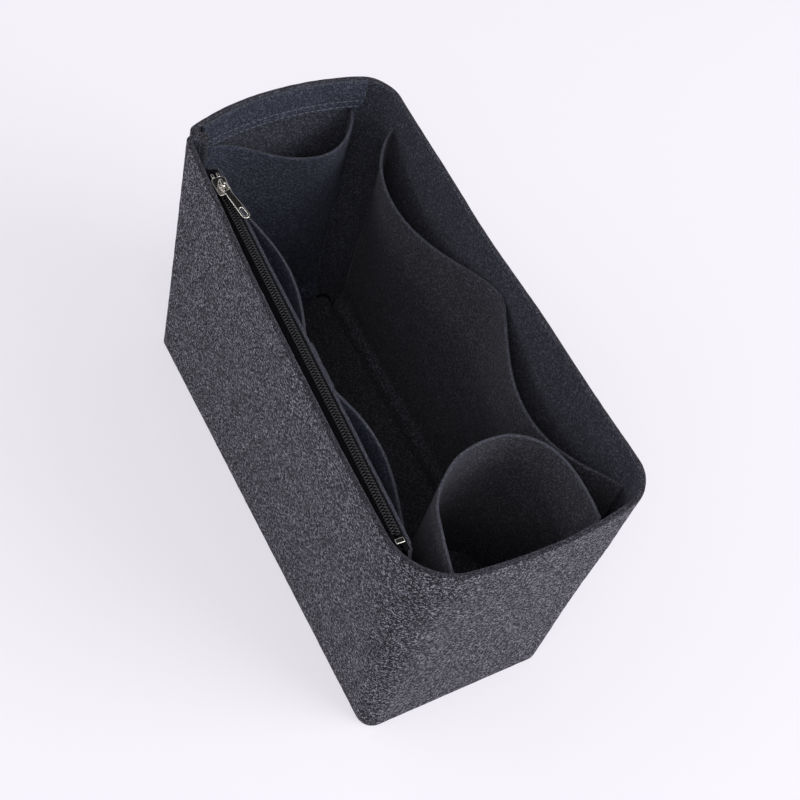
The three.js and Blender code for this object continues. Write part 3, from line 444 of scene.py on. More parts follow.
# %% Sizes of the box and its plan
HEIGHT, BASE_LENGTH, BASE_WIDTH = 165, 230, 97.5
FELT, THIN_FELT = 2.5, 1.5
FIT_GAP = 0.3
BASE_CORNER = 8
LEAN_LENGTHWISE = 0.9
SEWN_FOOT_OUT = 5  # the foot of the sewn corner stands out lengthwise
LEANS = (1.4, 10.6, 7.5, 3.7)  # each corner's, from the sewn one round
RIM_REACHES = (0, 24, 14, 13)  # reach of each corner's rounding at the rim
BOWS = (2.6, 7.9, -1.8, 9.9)  # each wall's, from the front one round
FRONT, NEAR_END, BACK, FAR_END = range(4)
SIDES = 4
BEZIER_ROUND = 0.56  # handle of a Bezier quarter turn, as a share of its reach
PROBE = 1e-4  # step for measuring a direction along the plan

base_corners = [
    complex(x * BASE_LENGTH / 2, y * BASE_WIDTH / 2) for x, y in ((-1, -1), (1, -1), (1, 1), (-1, 1))
]


def corner(index, z):
    base, grown = base_corners[index % SIDES], z / HEIGHT
    foot_out = SEWN_FOOT_OUT * (1 - grown) if index % SIDES == 0 else 0
    x = base.real + math.copysign(LEAN_LENGTHWISE * grown + foot_out, base.real)
    y = base.imag + math.copysign(LEANS[index % SIDES] * grown, base.imag)
    return complex(x, y)


def side_length(side, z):
    return abs(corner(side + 1, z) - corner(side, z))


def side_point(side, share, z):
    """A point on one wall as if its corners were sharp."""
    start = corner(side, z)
    along = corner(side + 1, z) - start
    bow = BOWS[side % SIDES] * (z / HEIGHT) ** 2 * arc(share)
    return start + along * share - 1j * bow * along / abs(along)


def side_direction(side, share, z):
    step = side_point(side, share + PROBE, z) - side_point(side, share - PROBE, z)
    return step / abs(step)


def bezier(a, b, c, d, share):
    rest = 1 - share
    return a * rest**3 + 3 * b * rest**2 * share + 3 * c * rest * share**2 + d * share**3


def turn_reach(turn, z, sewn_reach=0):
    """Reach of a corner's rounding. sewn_reach rounds the sewn corner too, for pieces that keep clear."""
    return lerp(BASE_CORNER, RIM_REACHES[turn % SIDES], z / HEIGHT) if turn % SIDES else sewn_reach


def outline(u, z, sewn_reach=0):
    turn = round(u)
    reach = turn_reach(turn, z, sewn_reach)
    side_before, side_after = (turn + FAR_END) % SIDES, turn % SIDES
    before, after = reach / side_length(side_before, z), reach / side_length(side_after, z)
    if u <= turn - before or u >= turn + after:
        side = min(int(u), FAR_END)
        return side_point(side, u - side, z)
    a, b = side_point(side_before, 1 - before, z), side_point(side_after, after, z)
    handle_a = a + side_direction(side_before, 1 - before, z) * reach * BEZIER_ROUND
    handle_b = b - side_direction(side_after, after, z) * reach * BEZIER_ROUND
    share = (u - turn + before) / before / 2 if u < turn else (1 + (u - turn) / after) / 2
    return bezier(a, handle_a, handle_b, b, share)


# %% [markdown]
# The plan is centred on the base, and the frame on the whole box, so the wall's own box gives the shift
# between the two. Real felt is never quite flat either. A slow wave, the same for every piece that hangs on
# the wall, moves the surface by a few tenths of a millimetre and fades out at the sewn corner.

# %% From the plan to the frame
rim = [outline(u, HEIGHT) for u in spread(0, SIDES, 400)]
wall_low, wall_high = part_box("outer_wall")
SHIFT = complex(
    (wall_low.x + wall_high.x) / 2 / MM - (max(p.real for p in rim) + min(p.real for p in rim)) / 2,
    (wall_low.y + wall_high.y) / 2 / MM - (max(p.imag for p in rim) + min(p.imag for p in rim)) / 2,
)
print("the plan's middle lies at", SHIFT, "mm in the frame")

WAVE_HEIGHT = 0.9
WAVE_LENGTH = 46
WAVE_FADE = 22  # from the sewn corner


def wave(plan, z):
    """How far the wall stands out at a point. It is still at the floor and at the sewn corner."""
    fade = ease(abs(plan - corner(0, z)), WAVE_FADE) * min(z / HEIGHT, 1)
    return WAVE_HEIGHT * fade * noise.noise(vector(plan, z) / WAVE_LENGTH)


def place(u, z, depth, sewn_reach=0):
    """The point that lies depth inside the wall's outer face, in the frame."""
    here = outline(u, z, sewn_reach)
    along = outline(u + PROBE, z, sewn_reach) - outline(max(u - PROBE, 0), z, sewn_reach)
    inward = 1j * along / abs(along)
    return vector(here + inward * (depth - wave(here, z)) + SHIFT, z)


def from_start(side, distance):
    """u of a point so far from a wall's first corner, measured along the base."""
    return side + distance / (BASE_WIDTH if side % 2 else BASE_LENGTH)


def from_end(side, distance):
    return side + 1 - distance / (BASE_WIDTH if side % 2 else BASE_LENGTH)


# %% [markdown]
# ## From a grid of points to a sheet of felt
# A piece of felt has one cut shape, an even thickness and a soft cut edge. A grid of points in bmesh gives
# the first face, with a UV map in metres so that the fibres keep their size on every piece. Three modifiers
# do the rest. Solidify gives the thickness, Bevel softens the cut edges, and Displace with a cloud texture
# makes the matted surface a little uneven, as needling leaves it.

# %% Sheets of felt
GRID = 1.6  # spacing of the points along the wall; the base's points lie twice as far apart
MATTING_SPACING = 5
MATTING_HEIGHT = 0.28
EDGE_BEND = math.radians(50)  # an edge that bends more than this is a cut edge
EDGE_ROUNDING = 0.45  # of most cut edges

matting = bpy.data.textures.new("matting", "CLOUDS")
matting.noise_scale = MATTING_SPACING * MM
matting.noise_depth = 2


def add_piece(name, mesh, materials, body="organizer", replaces=()):
    """Links a finished mesh as a piece of the object, on its CAD body."""
    piece = bpy.data.objects.new(name, mesh)
    for material in materials:
        mesh.materials.append(material)
    bpy.context.scene.collection.objects.link(piece)
    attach(piece, body)
    if replaces:
        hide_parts(*replaces)
    return piece


cuts = {}  # width, length and area of each flat cut, in millimetres


def running_lengths(points):
    """Distance of each point along a line, counted from its middle point."""
    lengths = [0]
    for a, b in zip(points, points[1:]):
        lengths.append(lengths[-1] + (b - a).length)
    return [length - lengths[len(points) // 2] for length in lengths]


def grid_mesh(name, points, left_out=lambda i, j: False):
    """A mesh with one square for each step of a grid of points, in millimetres. UVs are in metres."""
    mesh = bpy.data.meshes.new(name)
    build = bmesh.new()
    uv_layer = build.loops.layers.uv.new("UVMap")
    along = [running_lengths(row) for row in zip(*points)]
    across = [running_lengths(line) for line in points]
    length, width = (max(line[-1] - line[0] for line in lines) for lines in (along, across))
    verts = [[build.verts.new(p * MM) for p in line] for line in points]
    for i in range(len(points) - 1):
        for j in range(len(points[0]) - 1):
            if left_out(i, j):
                continue
            corners = ((i, j), (i + 1, j), (i + 1, j + 1), (i, j + 1))
            face = build.faces.new([verts[a][b] for a, b in corners])
            face.smooth = True
            for loop, (a, b) in zip(face.loops, corners):
                loop[uv_layer].uv = (along[b][a] * MM, across[a][b] * MM)
    cuts[name] = (width, length, sum(face.calc_area() for face in build.faces) / MM**2)
    loose = [v for line in verts for v in line if not v.link_faces]
    bmesh.ops.delete(build, geom=loose, context="VERTS")
    build.to_mesh(mesh)
    build.free()
    return mesh


def make_felt(piece, thickness, way=-1, rounding=EDGE_ROUNDING):
    """Gives a grid its thickness, against its normals or (way 1) along them, and a soft cut edge.

    The piece's last material is that of the cut edge. A piece with three has its second on the other face.
    """
    kinds = len(piece.data.materials)
    solid = piece.modifiers.new("thickness", "SOLIDIFY")
    solid.thickness = thickness * MM
    solid.offset = way
    solid.use_even_offset = True
    solid.material_offset = kinds - 2
    solid.material_offset_rim = kinds - 1
    soft = piece.modifiers.new("soft cut edge", "BEVEL")
    soft.width = rounding * MM
    soft.segments = 3
    soft.limit_method = "ANGLE"
    soft.angle_limit = EDGE_BEND
    soft.use_clamp_overlap = False  # one narrow square anywhere would else shrink the whole rounding
    uneven = piece.modifiers.new("matted surface", "DISPLACE")
    uneven.texture = matting
    uneven.texture_coords = "LOCAL"
    uneven.strength = MATTING_HEIGHT * MM
    print(f"{piece.name}: {len(piece.data.polygons)} squares, {thickness} mm thick")


# %% [markdown]
# ## The outer wall
# One strip of thick felt goes all round. Its two ends are turned in at the front far corner and sewn there,
# which makes the curled corner and the notch in the rim. The strip could be four plates with a bevel, but
# one grid that follows the plan keeps the bend, the curl and the turned ends in a single piece, as it is cut.

# %% Outer wall
SEAM_CURL = 3  # outer radius of each turned end
SEAM_ALLOWANCE = 6  # flat part of each turned end
BASE_LIP = 8  # edge of the base, turned up inside the wall
LIP_TOP, LIP_CLEAR = BASE_LIP + FIT_GAP, 2 * BASE_LIP
CURL_STEPS, ALLOWANCE_STEPS, TURN_STEPS = 10, 4, 16
WALL_ROUNDING = 1.1
WALL_ROWS = 92  # as many as keep the mesh of this largest piece under 200,000 faces
RIM_WAVE = 0.5  # unevenness of the cut rim


def seam(z):
    """The seam's plane halves the front far corner, and each end of the strip turns in along it."""
    apex = corner(FRONT, z)
    front_way, far_way = side_direction(FRONT, 0, z), -side_direction(FAR_END, 1, z)
    inward = (front_way + far_way) / abs(front_way + far_way)
    half_angle = math.acos((front_way * inward.conjugate()).real)
    return apex, inward, half_angle, SEAM_CURL / math.tan(half_angle / 2)


def turned_end(z, way):
    """Points of one turned end, from its loose edge out to the wall. way is 1 in front, -1 at the far end."""
    apex, inward, half_angle, tangent = seam(z)
    handle = 4 / 3 * math.tan((math.pi - half_angle) / 4) * SEAM_CURL
    wall = FRONT if way > 0 else FAR_END
    reach = tangent / side_length(wall, z)
    share = reach if way > 0 else 1 - reach
    on_wall = side_point(wall, share, z)
    at_seam = apex + inward * tangent - 1j * inward * way * FIT_GAP / 2
    loose = at_seam + inward * SEAM_ALLOWANCE
    curl = [
        bezier(
            at_seam,
            at_seam - inward * handle,
            on_wall - side_direction(wall, share, z) * way * handle,
            on_wall,
            step,
        )
        for step in spread(0, 1, CURL_STEPS)
    ]
    return [lerp(loose, at_seam, s) for s in spread(0, 1, ALLOWANCE_STEPS)][:-1] + curl, share


def wall_line(z):
    """The strip's outer face at one height, from one loose end to the other."""
    front_end, front_share = turned_end(z, 1)
    far_end, far_share = turned_end(z, -1)
    line = [vector(p + SHIFT, z) for p in front_end]
    for side in range(SIDES):
        start = front_share if side == FRONT else turn_reach(side, z) / side_length(side, z)
        end = far_share if side == FAR_END else 1 - turn_reach(side + 1, z) / side_length(side, z)
        steps = round((BASE_WIDTH if side % 2 else BASE_LENGTH) / GRID)
        stations = spread(side + start, side + end, steps)
        line += [place(u, z, 0) for u in stations[side == FRONT:len(stations) - (side == FAR_END)]]
        if side != FAR_END:
            next_start = turn_reach(side + 1, z) / side_length(side + 1, z)
            line += [place(u, z, 0) for u in spread(side + end, side + 1 + next_start, TURN_STEPS)[1:-1]]
    return line + [vector(p + SHIFT, z) for p in reversed(far_end)]


wall_rows = [wall_line(z) for z in spread(0, HEIGHT, WALL_ROWS)]
for point in wall_rows[-1]:
    point.z += RIM_WAVE * noise.noise(point / WAVE_LENGTH)
wall_grid = list(zip(*wall_rows))
last = len(wall_grid) - 1
# its inner face takes the felt with painted shade and bluish light
felt_wall = add_piece(
    "felt_wall",
    grid_mesh(
        "felt_wall",
        wall_grid,
        lambda i, j: min(i, last - 1 - i) < ALLOWANCE_STEPS and wall_grid[i][j].z < LIP_CLEAR,
    ),
    (outer_felt, inner_face_felt_with_painted_shade, outer_edge),
    replaces=["outer_wall"],
)
make_felt(felt_wall, FELT, rounding=WALL_ROUNDING)

# %% [markdown]
# ## The base
# The base is a second piece of thick felt. Its edge is turned up inside the wall, where it is sewn. The grid
# runs in rings from the edge of the turned-up lip, round a soft bend, and in to the middle line of the base.

# %% Base panel
BASE_BEND = 2.4  # radius of the bend under the lip
RING_STEPS = 8  # of each corner, on either side
LIP_STEPS, BEND_STEPS, INWARD_STEPS = 4, 4, 24
WELD_DISTANCE = 0.03  # front and back points meet along the middle line, and first and last at the corner
SEWN_CORNER_REACH = seam(0)[3] + SEAM_CURL + FELT
lip_outer = FELT + FIT_GAP


def base_ring(depth, z):
    stations = []
    for side in range(SIDES):
        length = BASE_WIDTH if side % 2 else BASE_LENGTH
        before = (BASE_CORNER if side else SEWN_CORNER_REACH) / length
        after = (BASE_CORNER if side != FAR_END else SEWN_CORNER_REACH) / length
        steps = round(length / (2 * GRID))
        stations += spread(side, side + before, RING_STEPS)
        stations += spread(side + before, side + 1 - after, steps)[1:-1]
        stations += spread(side + 1 - after, side + 1, RING_STEPS)[:-1]
    return [place(u, z, depth, SEWN_CORNER_REACH) for u in stations]


def towards_middle(ring, share):
    """The ring drawn in to a line along the middle of the base, where front and back points meet in pairs."""
    reach = (BASE_LENGTH - BASE_WIDTH) / 2
    line_ends = (-reach, reach, reach, -reach, -reach)
    middle = []
    for side in range(SIDES):
        count = 2 * RING_STEPS + round((BASE_WIDTH if side % 2 else BASE_LENGTH) / (2 * GRID))
        middle += spread(line_ends[side], line_ends[side + 1], count)[:-1]
    return [p.lerp(Vector((x, SHIFT.imag, p.z)), share) for p, x in zip(ring, middle)]


rings = [base_ring(lip_outer, z) for z in spread(BASE_LIP, BASE_BEND, LIP_STEPS)]
for turn in spread(0, math.pi / 2, BEND_STEPS)[1:]:
    rings.append(base_ring(lip_outer + BASE_BEND * (1 - math.cos(turn)), BASE_BEND * (1 - math.sin(turn))))
rings += [towards_middle(rings[-1], share) for share in spread(0, 1, INWARD_STEPS)[1:]]
base_lines = [list(line) for line in zip(*rings)]
base_mesh = grid_mesh("felt_base", [*reversed(base_lines), base_lines[-1]])
# the cut is larger than the base by what the bend and the lip take on two sides
unfolded = 2 * (BASE_LIP - BASE_BEND + BASE_BEND * math.pi / 2 - lip_outer - BASE_BEND)
cuts["felt_base"] = (BASE_WIDTH + unfolded, BASE_LENGTH + unfolded, cuts["felt_base"][2])
weld = bmesh.new()
weld.from_mesh(base_mesh)
bmesh.ops.remove_doubles(weld, verts=weld.verts, dist=WELD_DISTANCE * MM)
uv_layer = weld.loops.layers.uv["UVMap"]
for face in weld.faces:
    for loop in face.loops:
        loop[uv_layer].uv = loop.vert.co.xy
weld.to_mesh(base_mesh)
weld.free()
# the base's upper face takes the felt painted darker as shade
felt_base = add_piece(
    "felt_base", base_mesh, (outer_felt, base_felt_with_painted_shade, outer_edge), replaces=["base_panel"]
)
make_felt(felt_base, FELT)

# %% [markdown]
# ## Pieces that hang on the walls
# Every pocket goes down to the base and steps round its turned-up lip. A row of stitches pulls thin felt
# about a quarter of a millimetre into its backing, which leaves a soft groove.

# %% Depths and grooves
THREAD = 0.4
SEAM_TRIM = 3.5  # pieces beside the sewn corner draw back from it near the floor
SHEET_FOOT = FELT + FIT_GAP
lip_inner = lip_outer + FELT
past_lip = lip_inner + FIT_GAP + THREAD + FIT_GAP
FOOT_SHARE = 0.12  # share of a hanging piece's rows that lie below the top of the lip
HANGING_STEPS = 70
GROOVE_DEPTH = 0.35
GROOVE_REACH = 1.1


def past_lip_share(z):
    return ease(z - LIP_TOP, LIP_CLEAR - LIP_TOP)


def wall_depth(z):
    return lerp(past_lip, FELT + FIT_GAP, past_lip_share(z))


def seam_trim(z):
    return SEAM_TRIM * (1 - past_lip_share(z))


def row_height(row, top):
    """Height of a row between a piece's foot (0) and its shaped top edge (1)."""
    if row < FOOT_SHARE:
        return lerp(SHEET_FOOT, LIP_CLEAR, row / FOOT_SHARE)
    return lerp(LIP_CLEAR, top, (row - FOOT_SHARE) / (1 - FOOT_SHARE))


def groove(distance):
    return GROOVE_DEPTH * math.exp(-((distance / GROOVE_REACH) ** 2))


# %% [markdown]
# ## Facing strip
# A strip of thin felt lies inside the far rim and hides the raw seam. Two rows of stitching hold it.

# %% Facing strip
FACING_HEIGHT, FACING_MARGIN = 17, 8
FACING_ROW_DROP, FACING_ROW_SPACING = 12, 3.5
FACING_STEPS_UP, FACING_STEPS_ALONG = 34, 60
facing_rows = [HEIGHT - FACING_ROW_DROP - k * FACING_ROW_SPACING for k in range(2)]


def facing_depth(z):
    return FELT + FIT_GAP - sum(groove(z - row) for row in facing_rows)


facing_grid = [
    [place(u, z, facing_depth(z)) for z in spread(HEIGHT - FACING_HEIGHT, HEIGHT, FACING_STEPS_UP)]
    for u in spread(from_start(FAR_END, FACING_MARGIN), from_end(FAR_END, FACING_MARGIN), FACING_STEPS_ALONG)
]
facing_strip = add_piece(
    "facing_strip",
    grid_mesh("facing_strip", facing_grid),
    (thin_felt_painted_bluer, inner_edge),
    replaces=["end_facing"],
)
make_felt(facing_strip, THIN_FELT)

# %% [markdown]
# ## Zip pocket panel
# A panel of thin felt hangs from the zip, parallel to the front wall. At both ends it is sewn flat to the
# wall, and a short ramp leads from there to the width of the zip.

# %% Zip pocket panel
PANEL_DROP, PANEL_MARGIN_FAR, PANEL_MARGIN_NEAR = 8.5, 9, 5
PANEL_LAND, PANEL_RAMP, PANEL_OFFSET, PANEL_GAPE = 2.5, 6, 7.6, 2.6
PANEL_CUTS = ((7, 9), (24, 14))  # drop and reach of its top corners, which curve down out of the zip's way
PANEL_ROUNDING = 0.25
PANEL_STEPS = 144
panel_start, panel_end = PANEL_MARGIN_FAR, BASE_LENGTH - PANEL_MARGIN_NEAR
panel_top = HEIGHT - PANEL_DROP


def panel_top_at(s):
    from_ends = (s - panel_start, panel_end - s)
    cut_away = (drop * (1 - ease(away, reach)) for away, (drop, reach) in zip(from_ends, PANEL_CUTS))
    return panel_top - sum(cut_away)


def panel_depth(s, z):
    """Depth of the panel's face towards the wall, s millimetres along the front wall."""
    away = ease(min(s - panel_start, panel_end - s) - PANEL_LAND, PANEL_RAMP)
    at_top = FELT + PANEL_OFFSET + PANEL_GAPE * arc((s - panel_start) / (panel_end - panel_start))
    hanging = lerp(past_lip, at_top, (z - SHEET_FOOT) / (panel_top - SHEET_FOOT))
    return lerp(wall_depth(z), hanging, away)


def panel_point(s, row):
    z = row_height(row, panel_top_at(s))
    trimmed = s + seam_trim(z) * (panel_end - s) / (panel_end - panel_start)
    pull = sum(groove(s - at) for at in (panel_start + PANEL_LAND / 2, panel_end - PANEL_LAND / 2))
    return place(from_start(FRONT, trimmed), z, panel_depth(s, z) - pull)


panel_grid = [
    [panel_point(s, row) for row in spread(0, 1, HANGING_STEPS)]
    for s in spread(panel_start, panel_end, PANEL_STEPS)
]
zip_panel = add_piece(
    "zip_panel",
    grid_mesh("zip_panel", panel_grid),
    (thin_felt_painted_bluer, inner_edge),
    replaces=["zip_pocket_panel"],
)
make_felt(zip_panel, THIN_FELT, rounding=PANEL_ROUNDING)

# %% [markdown]
# ## Slip pockets
# Each pocket is cut wider than the wall that it is sewn to, so its free top edge stands out in one or two
# scallops, and dips in the middle of each. A scallop rises and falls as share**rise * (1 - share)**fall,
# which puts its crest off centre, as it stands in the photograph. The slack closes towards the floor.

# %% Slip pockets
POCKET_SIDE_LAND = 3  # flat strip at each side seam
BULGE_POWER = 1.4  # how late the slack opens towards the top
SCALLOP_STEPS, LAND_STEPS, SIDE_STEPS = 60, 8, 3
# bulge and dip in millimetres, the crest's place as a share of the scallop, and two shape exponents
FRONT_SCALLOPS = ((16.5, 16, 0.44, 3, 0.65), (16.7, 17.5, 0.38, 2.8, 0.6))
BACK_SCALLOPS = ((17.5, 11.6, 0.47, 2.7, 1.1), (20.2, 11.7, 0.69, 2.9, 1.2))
END_SCALLOPS = ((24, 10.2, 0.24, 3, 1.6),)
BACK_POCKET_DROP, BACK_POCKET_SAG = 14, 4
FRONT_POCKET_DROP = 2.6  # below the panel's edge, which hides it between the scallops
FRONT_CORNER_DROP, FRONT_CORNER_REACH = 6, 7  # its top corners are rounded off
FRONT_POCKET_START, FRONT_POCKET_END = 29, BASE_LENGTH - 15


def front_pocket_top(s):
    from_corner = min(s - FRONT_POCKET_START, FRONT_POCKET_END - s)
    return panel_top - FRONT_POCKET_DROP - FRONT_CORNER_DROP * (1 - ease(from_corner, FRONT_CORNER_REACH))


front_pocket = {
    "side": FRONT, "start": FRONT_POCKET_START, "end": FRONT_POCKET_END, "land": 22,
    "scallops": FRONT_SCALLOPS,
    "top": front_pocket_top,
    "under": lambda s, z: panel_depth(s, z) + THIN_FELT + FIT_GAP,
}
back_pocket = {
    "side": BACK, "start": 10.5, "end": BASE_LENGTH - 15, "land": 3, "scallops": BACK_SCALLOPS,
    "top": lambda s: HEIGHT - BACK_POCKET_DROP - BACK_POCKET_SAG * (1 - arc(s / BASE_LENGTH)),
    "under": lambda s, z: wall_depth(z),
}
end_pocket = {
    "side": FAR_END, "start": 12, "end": BASE_WIDTH - 9, "land": 0, "scallops": END_SCALLOPS,
    "top": lambda s: HEIGHT - FACING_HEIGHT - FIT_GAP,
    "under": lambda s, z: wall_depth(z),
    "beside_seam": True,
}


def scallop_at(scallop, share):
    """How far the felt stands out and how far its edge dips, at a share of one scallop's width."""
    bulge, dip, crest_share, taper, fullness = scallop
    rise = taper * crest_share
    fall = taper - rise
    crest = crest_share**rise * (1 - crest_share)**fall
    return bulge * share**rise * (1 - share)**fall / crest, dip * math.sin(math.pi * share) ** fullness


def pocket_columns(pocket):
    """(s, bulge, dip) for each column of a pocket's grid."""
    count = len(pocket["scallops"])
    free = pocket["end"] - pocket["start"] - 2 * POCKET_SIDE_LAND - pocket["land"] * (count - 1)
    width = free / count
    first_land = spread(pocket["start"], pocket["start"] + POCKET_SIDE_LAND, SIDE_STEPS)[:-1]
    last_land = spread(pocket["end"] - POCKET_SIDE_LAND, pocket["end"], SIDE_STEPS)[1:]
    columns = [(s, 0, 0) for s in first_land]
    for k, scallop in enumerate(pocket["scallops"]):
        begin = pocket["start"] + POCKET_SIDE_LAND + k * (width + pocket["land"])
        for share in spread(0, 1, SCALLOP_STEPS):
            columns.append((begin + share * width, *scallop_at(scallop, min(share, 1 - PROBE))))
        land = pocket["land"] if k < count - 1 else 0
        columns += [(s, 0, 0) for s in spread(begin + width, begin + width + land, LAND_STEPS)[1:-1] if land]
    return columns + [(s, 0, 0) for s in last_land]


def pocket_seams(pocket):
    """Where its upright rows of stitching lie."""
    inset = POCKET_SIDE_LAND / 2
    seams = [pocket["start"] + inset, pocket["end"] - inset]
    if len(pocket["scallops"]) > 1:
        seams.insert(1, (pocket["start"] + pocket["end"]) / 2)
    return seams


def pocket_point(pocket, column, row):
    s, bulge, dip = column
    z = row_height(row, pocket["top"](s) - dip)
    opened = ((z - SHEET_FOOT) / (HEIGHT - SHEET_FOOT)) ** BULGE_POWER
    trim = 0
    if pocket.get("beside_seam"):
        trim = seam_trim(z) * (s - pocket["start"]) / (pocket["end"] - pocket["start"])
    pull = sum(groove(s - at) for at in pocket_seams(pocket))
    return place(from_start(pocket["side"], s - trim), z, pocket["under"](s, z) + bulge * opened - pull)


def sew_pocket(name, pocket, node, felt=thin_felt_painted_bluer):
    grid = [
        [pocket_point(pocket, column, row) for row in spread(0, 1, HANGING_STEPS)]
        for column in pocket_columns(pocket)
    ]
    piece = add_piece(name, grid_mesh(name, grid), (felt, inner_edge), replaces=[node])
    make_felt(piece, THIN_FELT)


# the front and end pockets take the thin felt painted bluer
sew_pocket("front_slip", front_pocket, "front_slip_pocket")
# the back pocket takes the thin felt painted less blue
sew_pocket("back_slip", back_pocket, "back_slip_pocket", thin_felt_painted_less_blue)
sew_pocket("end_slip", end_pocket, "end_slip_pocket")

# %% [markdown]
# ## Bottle loop
# A strip of thin felt is folded in at both ends, sewn to the near wall and left to stand out in an arch. Felt
# springs into an even curve, so a curve through a few points gives it, and every row of the strip repeats it.

# %% A smooth curve through points
def distance(a, b):
    return np.linalg.norm(np.atleast_1d(b - a))


def smooth_through(points, steps):
    """steps + 1 points of a centripetal Catmull-Rom curve, evenly shared among its spans."""
    ends = [2 * points[0] - points[1], *points, 2 * points[-1] - points[-2]]
    made = []
    for step in range(steps + 1):
        at = step / steps * (len(points) - 1)
        k = min(int(at), len(points) - 2)
        share = at - k
        before, start, end, after = ends[k:k + 4]
        d0, d1, d2 = (math.sqrt(distance(a, b)) for a, b in ((before, start), (start, end), (end, after)))
        slope_in = ((start - before) / d0 - (end - before) / (d0 + d1) + (end - start) / d1) * d1
        slope_out = ((end - start) / d1 - (after - start) / (d1 + d2) + (after - end) / d2) * d1
        made.append(
            start + share * slope_in
            + share**2 * (3 * (end - start) - 2 * slope_in - slope_out)
            + share**3 * (2 * (start - end) + slope_in + slope_out)
        )
    return made


# %% Bottle loop
LOOP_MARGIN_FRONT, LOOP_MARGIN_BACK = 14.7, 21
LOOP_REACH, LOOP_BOTTOM, LOOP_DROP, LOOP_TAB = 51.2, 45, 8, 9
# across the loop in shares of half its width, and out from the wall in shares of its reach
LOOP_SHARES = (
    (-1, 0), (-0.86, 0.38), (-0.71, 0.66), (-0.26, 0.93), (0.14, 1),
    (0.54, 0.97), (0.84, 0.82), (0.99, 0.6), (1.03, 0.33), (1, 0),
)
loop_start, loop_end = from_start(NEAR_END, LOOP_MARGIN_FRONT), from_end(NEAR_END, LOOP_MARGIN_BACK)
LOOP_CURVE_STEPS, FOLD_STEPS, SEWN_STEPS, LOOP_ROWS = 110, 8, 4, 70
FOLD_CUT = 2  # points of the curve that each soft fold replaces
FOLD_REACH = 3  # of each fold along the wall


def fold(on_wall, tip, on_curve):
    """The soft fold between a sewn end and the free curve. tip is where a sharp fold would be."""
    handles = lerp(on_wall, tip, BEZIER_ROUND), lerp(on_curve, tip, BEZIER_ROUND)
    return [bezier(on_wall, *handles, on_curve, share) for share in spread(0, 1, FOLD_STEPS)[1:-1]]


def loop_line(z):
    """The loop's face towards the middle of the box, with both sewn ends, at one height."""
    ends = [place(u, z, FELT + FIT_GAP) for u in (loop_start, loop_end)]
    start, end = (complex(p.x, p.y) for p in ends)
    middle, across = (start + end) / 2, (end - start) / 2
    out = 1j * across / abs(across)
    points = [middle + across * a + out * LOOP_REACH * b for a, b in LOOP_SHARES]
    free = smooth_through(points, LOOP_CURVE_STEPS)[FOLD_CUT:-FOLD_CUT]
    tab, reach = LOOP_TAB / BASE_WIDTH, FOLD_REACH / BASE_WIDTH
    first = [place(u, z, FELT + FIT_GAP) for u in spread(loop_start + tab, loop_start + reach, SEWN_STEPS)]
    final = [place(u, z, FELT + FIT_GAP) for u in spread(loop_end - reach, loop_end - tab, SEWN_STEPS)]
    fold_in = fold(complex(first[-1].x, first[-1].y), start, free[0])
    fold_out = fold(complex(final[0].x, final[0].y), end, free[-1])[::-1]
    return first + [vector(p, z) for p in (*fold_in, *free, *fold_out)] + final


loop_rows = [loop_line(z) for z in spread(LOOP_BOTTOM, HEIGHT - LOOP_DROP, LOOP_ROWS)]
# the loop takes the thin felt painted less blue
felt_loop = add_piece(
    "felt_loop",
    grid_mesh("felt_loop", list(zip(*loop_rows))),
    (thin_felt_painted_less_blue, inner_edge),
    replaces=["bottle_loop"],
)
make_felt(felt_loop, THIN_FELT, way=1)

# %% [markdown]
# ## The zip's own frame
# The zip is straight, and the slider's joint gives its direction. Points along the zip are measured from the
# far end of the chain: x along it, y into the box and z up from the seat of the coils.

# %% The zip's frame
joints = {joint["name"]: joint for joint in frame["joints"]}
zip_x = Vector(joints["zip_slide"]["axis"]).normalized()
zip_z = Vector((0, 0, 1))
zip_y = zip_z.cross(zip_x)
SLIDER_CENTRE, PIVOT_HEIGHT = 8, 3.5  # of the pull tab's bar, from the chain's end and from the coils' seat
zip_origin = Vector(joints["pull_tab_swing"]["pos_m"]) / MM - SLIDER_CENTRE * zip_x - PIVOT_HEIGHT * zip_z
stop_low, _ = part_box("zip_top_stop_wall_side")
_, stop_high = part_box("zip_bottom_stop")
STOP_LENGTH, CHAIN_WIDTH, CHAIN_HEIGHT = 2.4, 4.1, 1.5
chain_length = ((stop_high.x - stop_low.x) / MM - CHAIN_WIDTH * abs(zip_x.y)) / zip_x.x
print(f"the chain is {chain_length:.1f} mm long and starts at {[round(c, 1) for c in zip_origin]}")


def zip_point(x, y, z):
    return zip_origin + x * zip_x + y * zip_y + z * zip_z


# %% [markdown]
# ## Tapes
# Each coil is sewn on a tape of black polyester, woven in a fine herringbone. The tape lies flat beside the
# chain, bends down and is sewn to the wall on one side and to the panel on the other. Black yarn shows mostly
# by the small highlights on its ribs, so the material is nearly black with a soft gloss and a ribbed bump.

# %% Zip tapes
TAPE, TAPE_END, TAPE_LEG, TAPE_BEND = 0.5, 3, 12, 2.5
COIL_INNER = 0.55  # from the chain's centre to the CAD coil
RIB_SPACING = 0.6  # yarns are nearer 0.3 mm, which is too fine to show at this size
RIB_DEPTH = 0.12
WAVE_BANDS = 2 * math.pi / 20  # the wave texture repeats every 2 pi / 20 units at scale 1
TAPE_STEPS_DOWN, TAPE_STEPS_ALONG = 24, 130
ZIP_MARGIN_FAR, ZIP_MARGIN_NEAR = 21.5, 18
zip_height = zip_origin.z


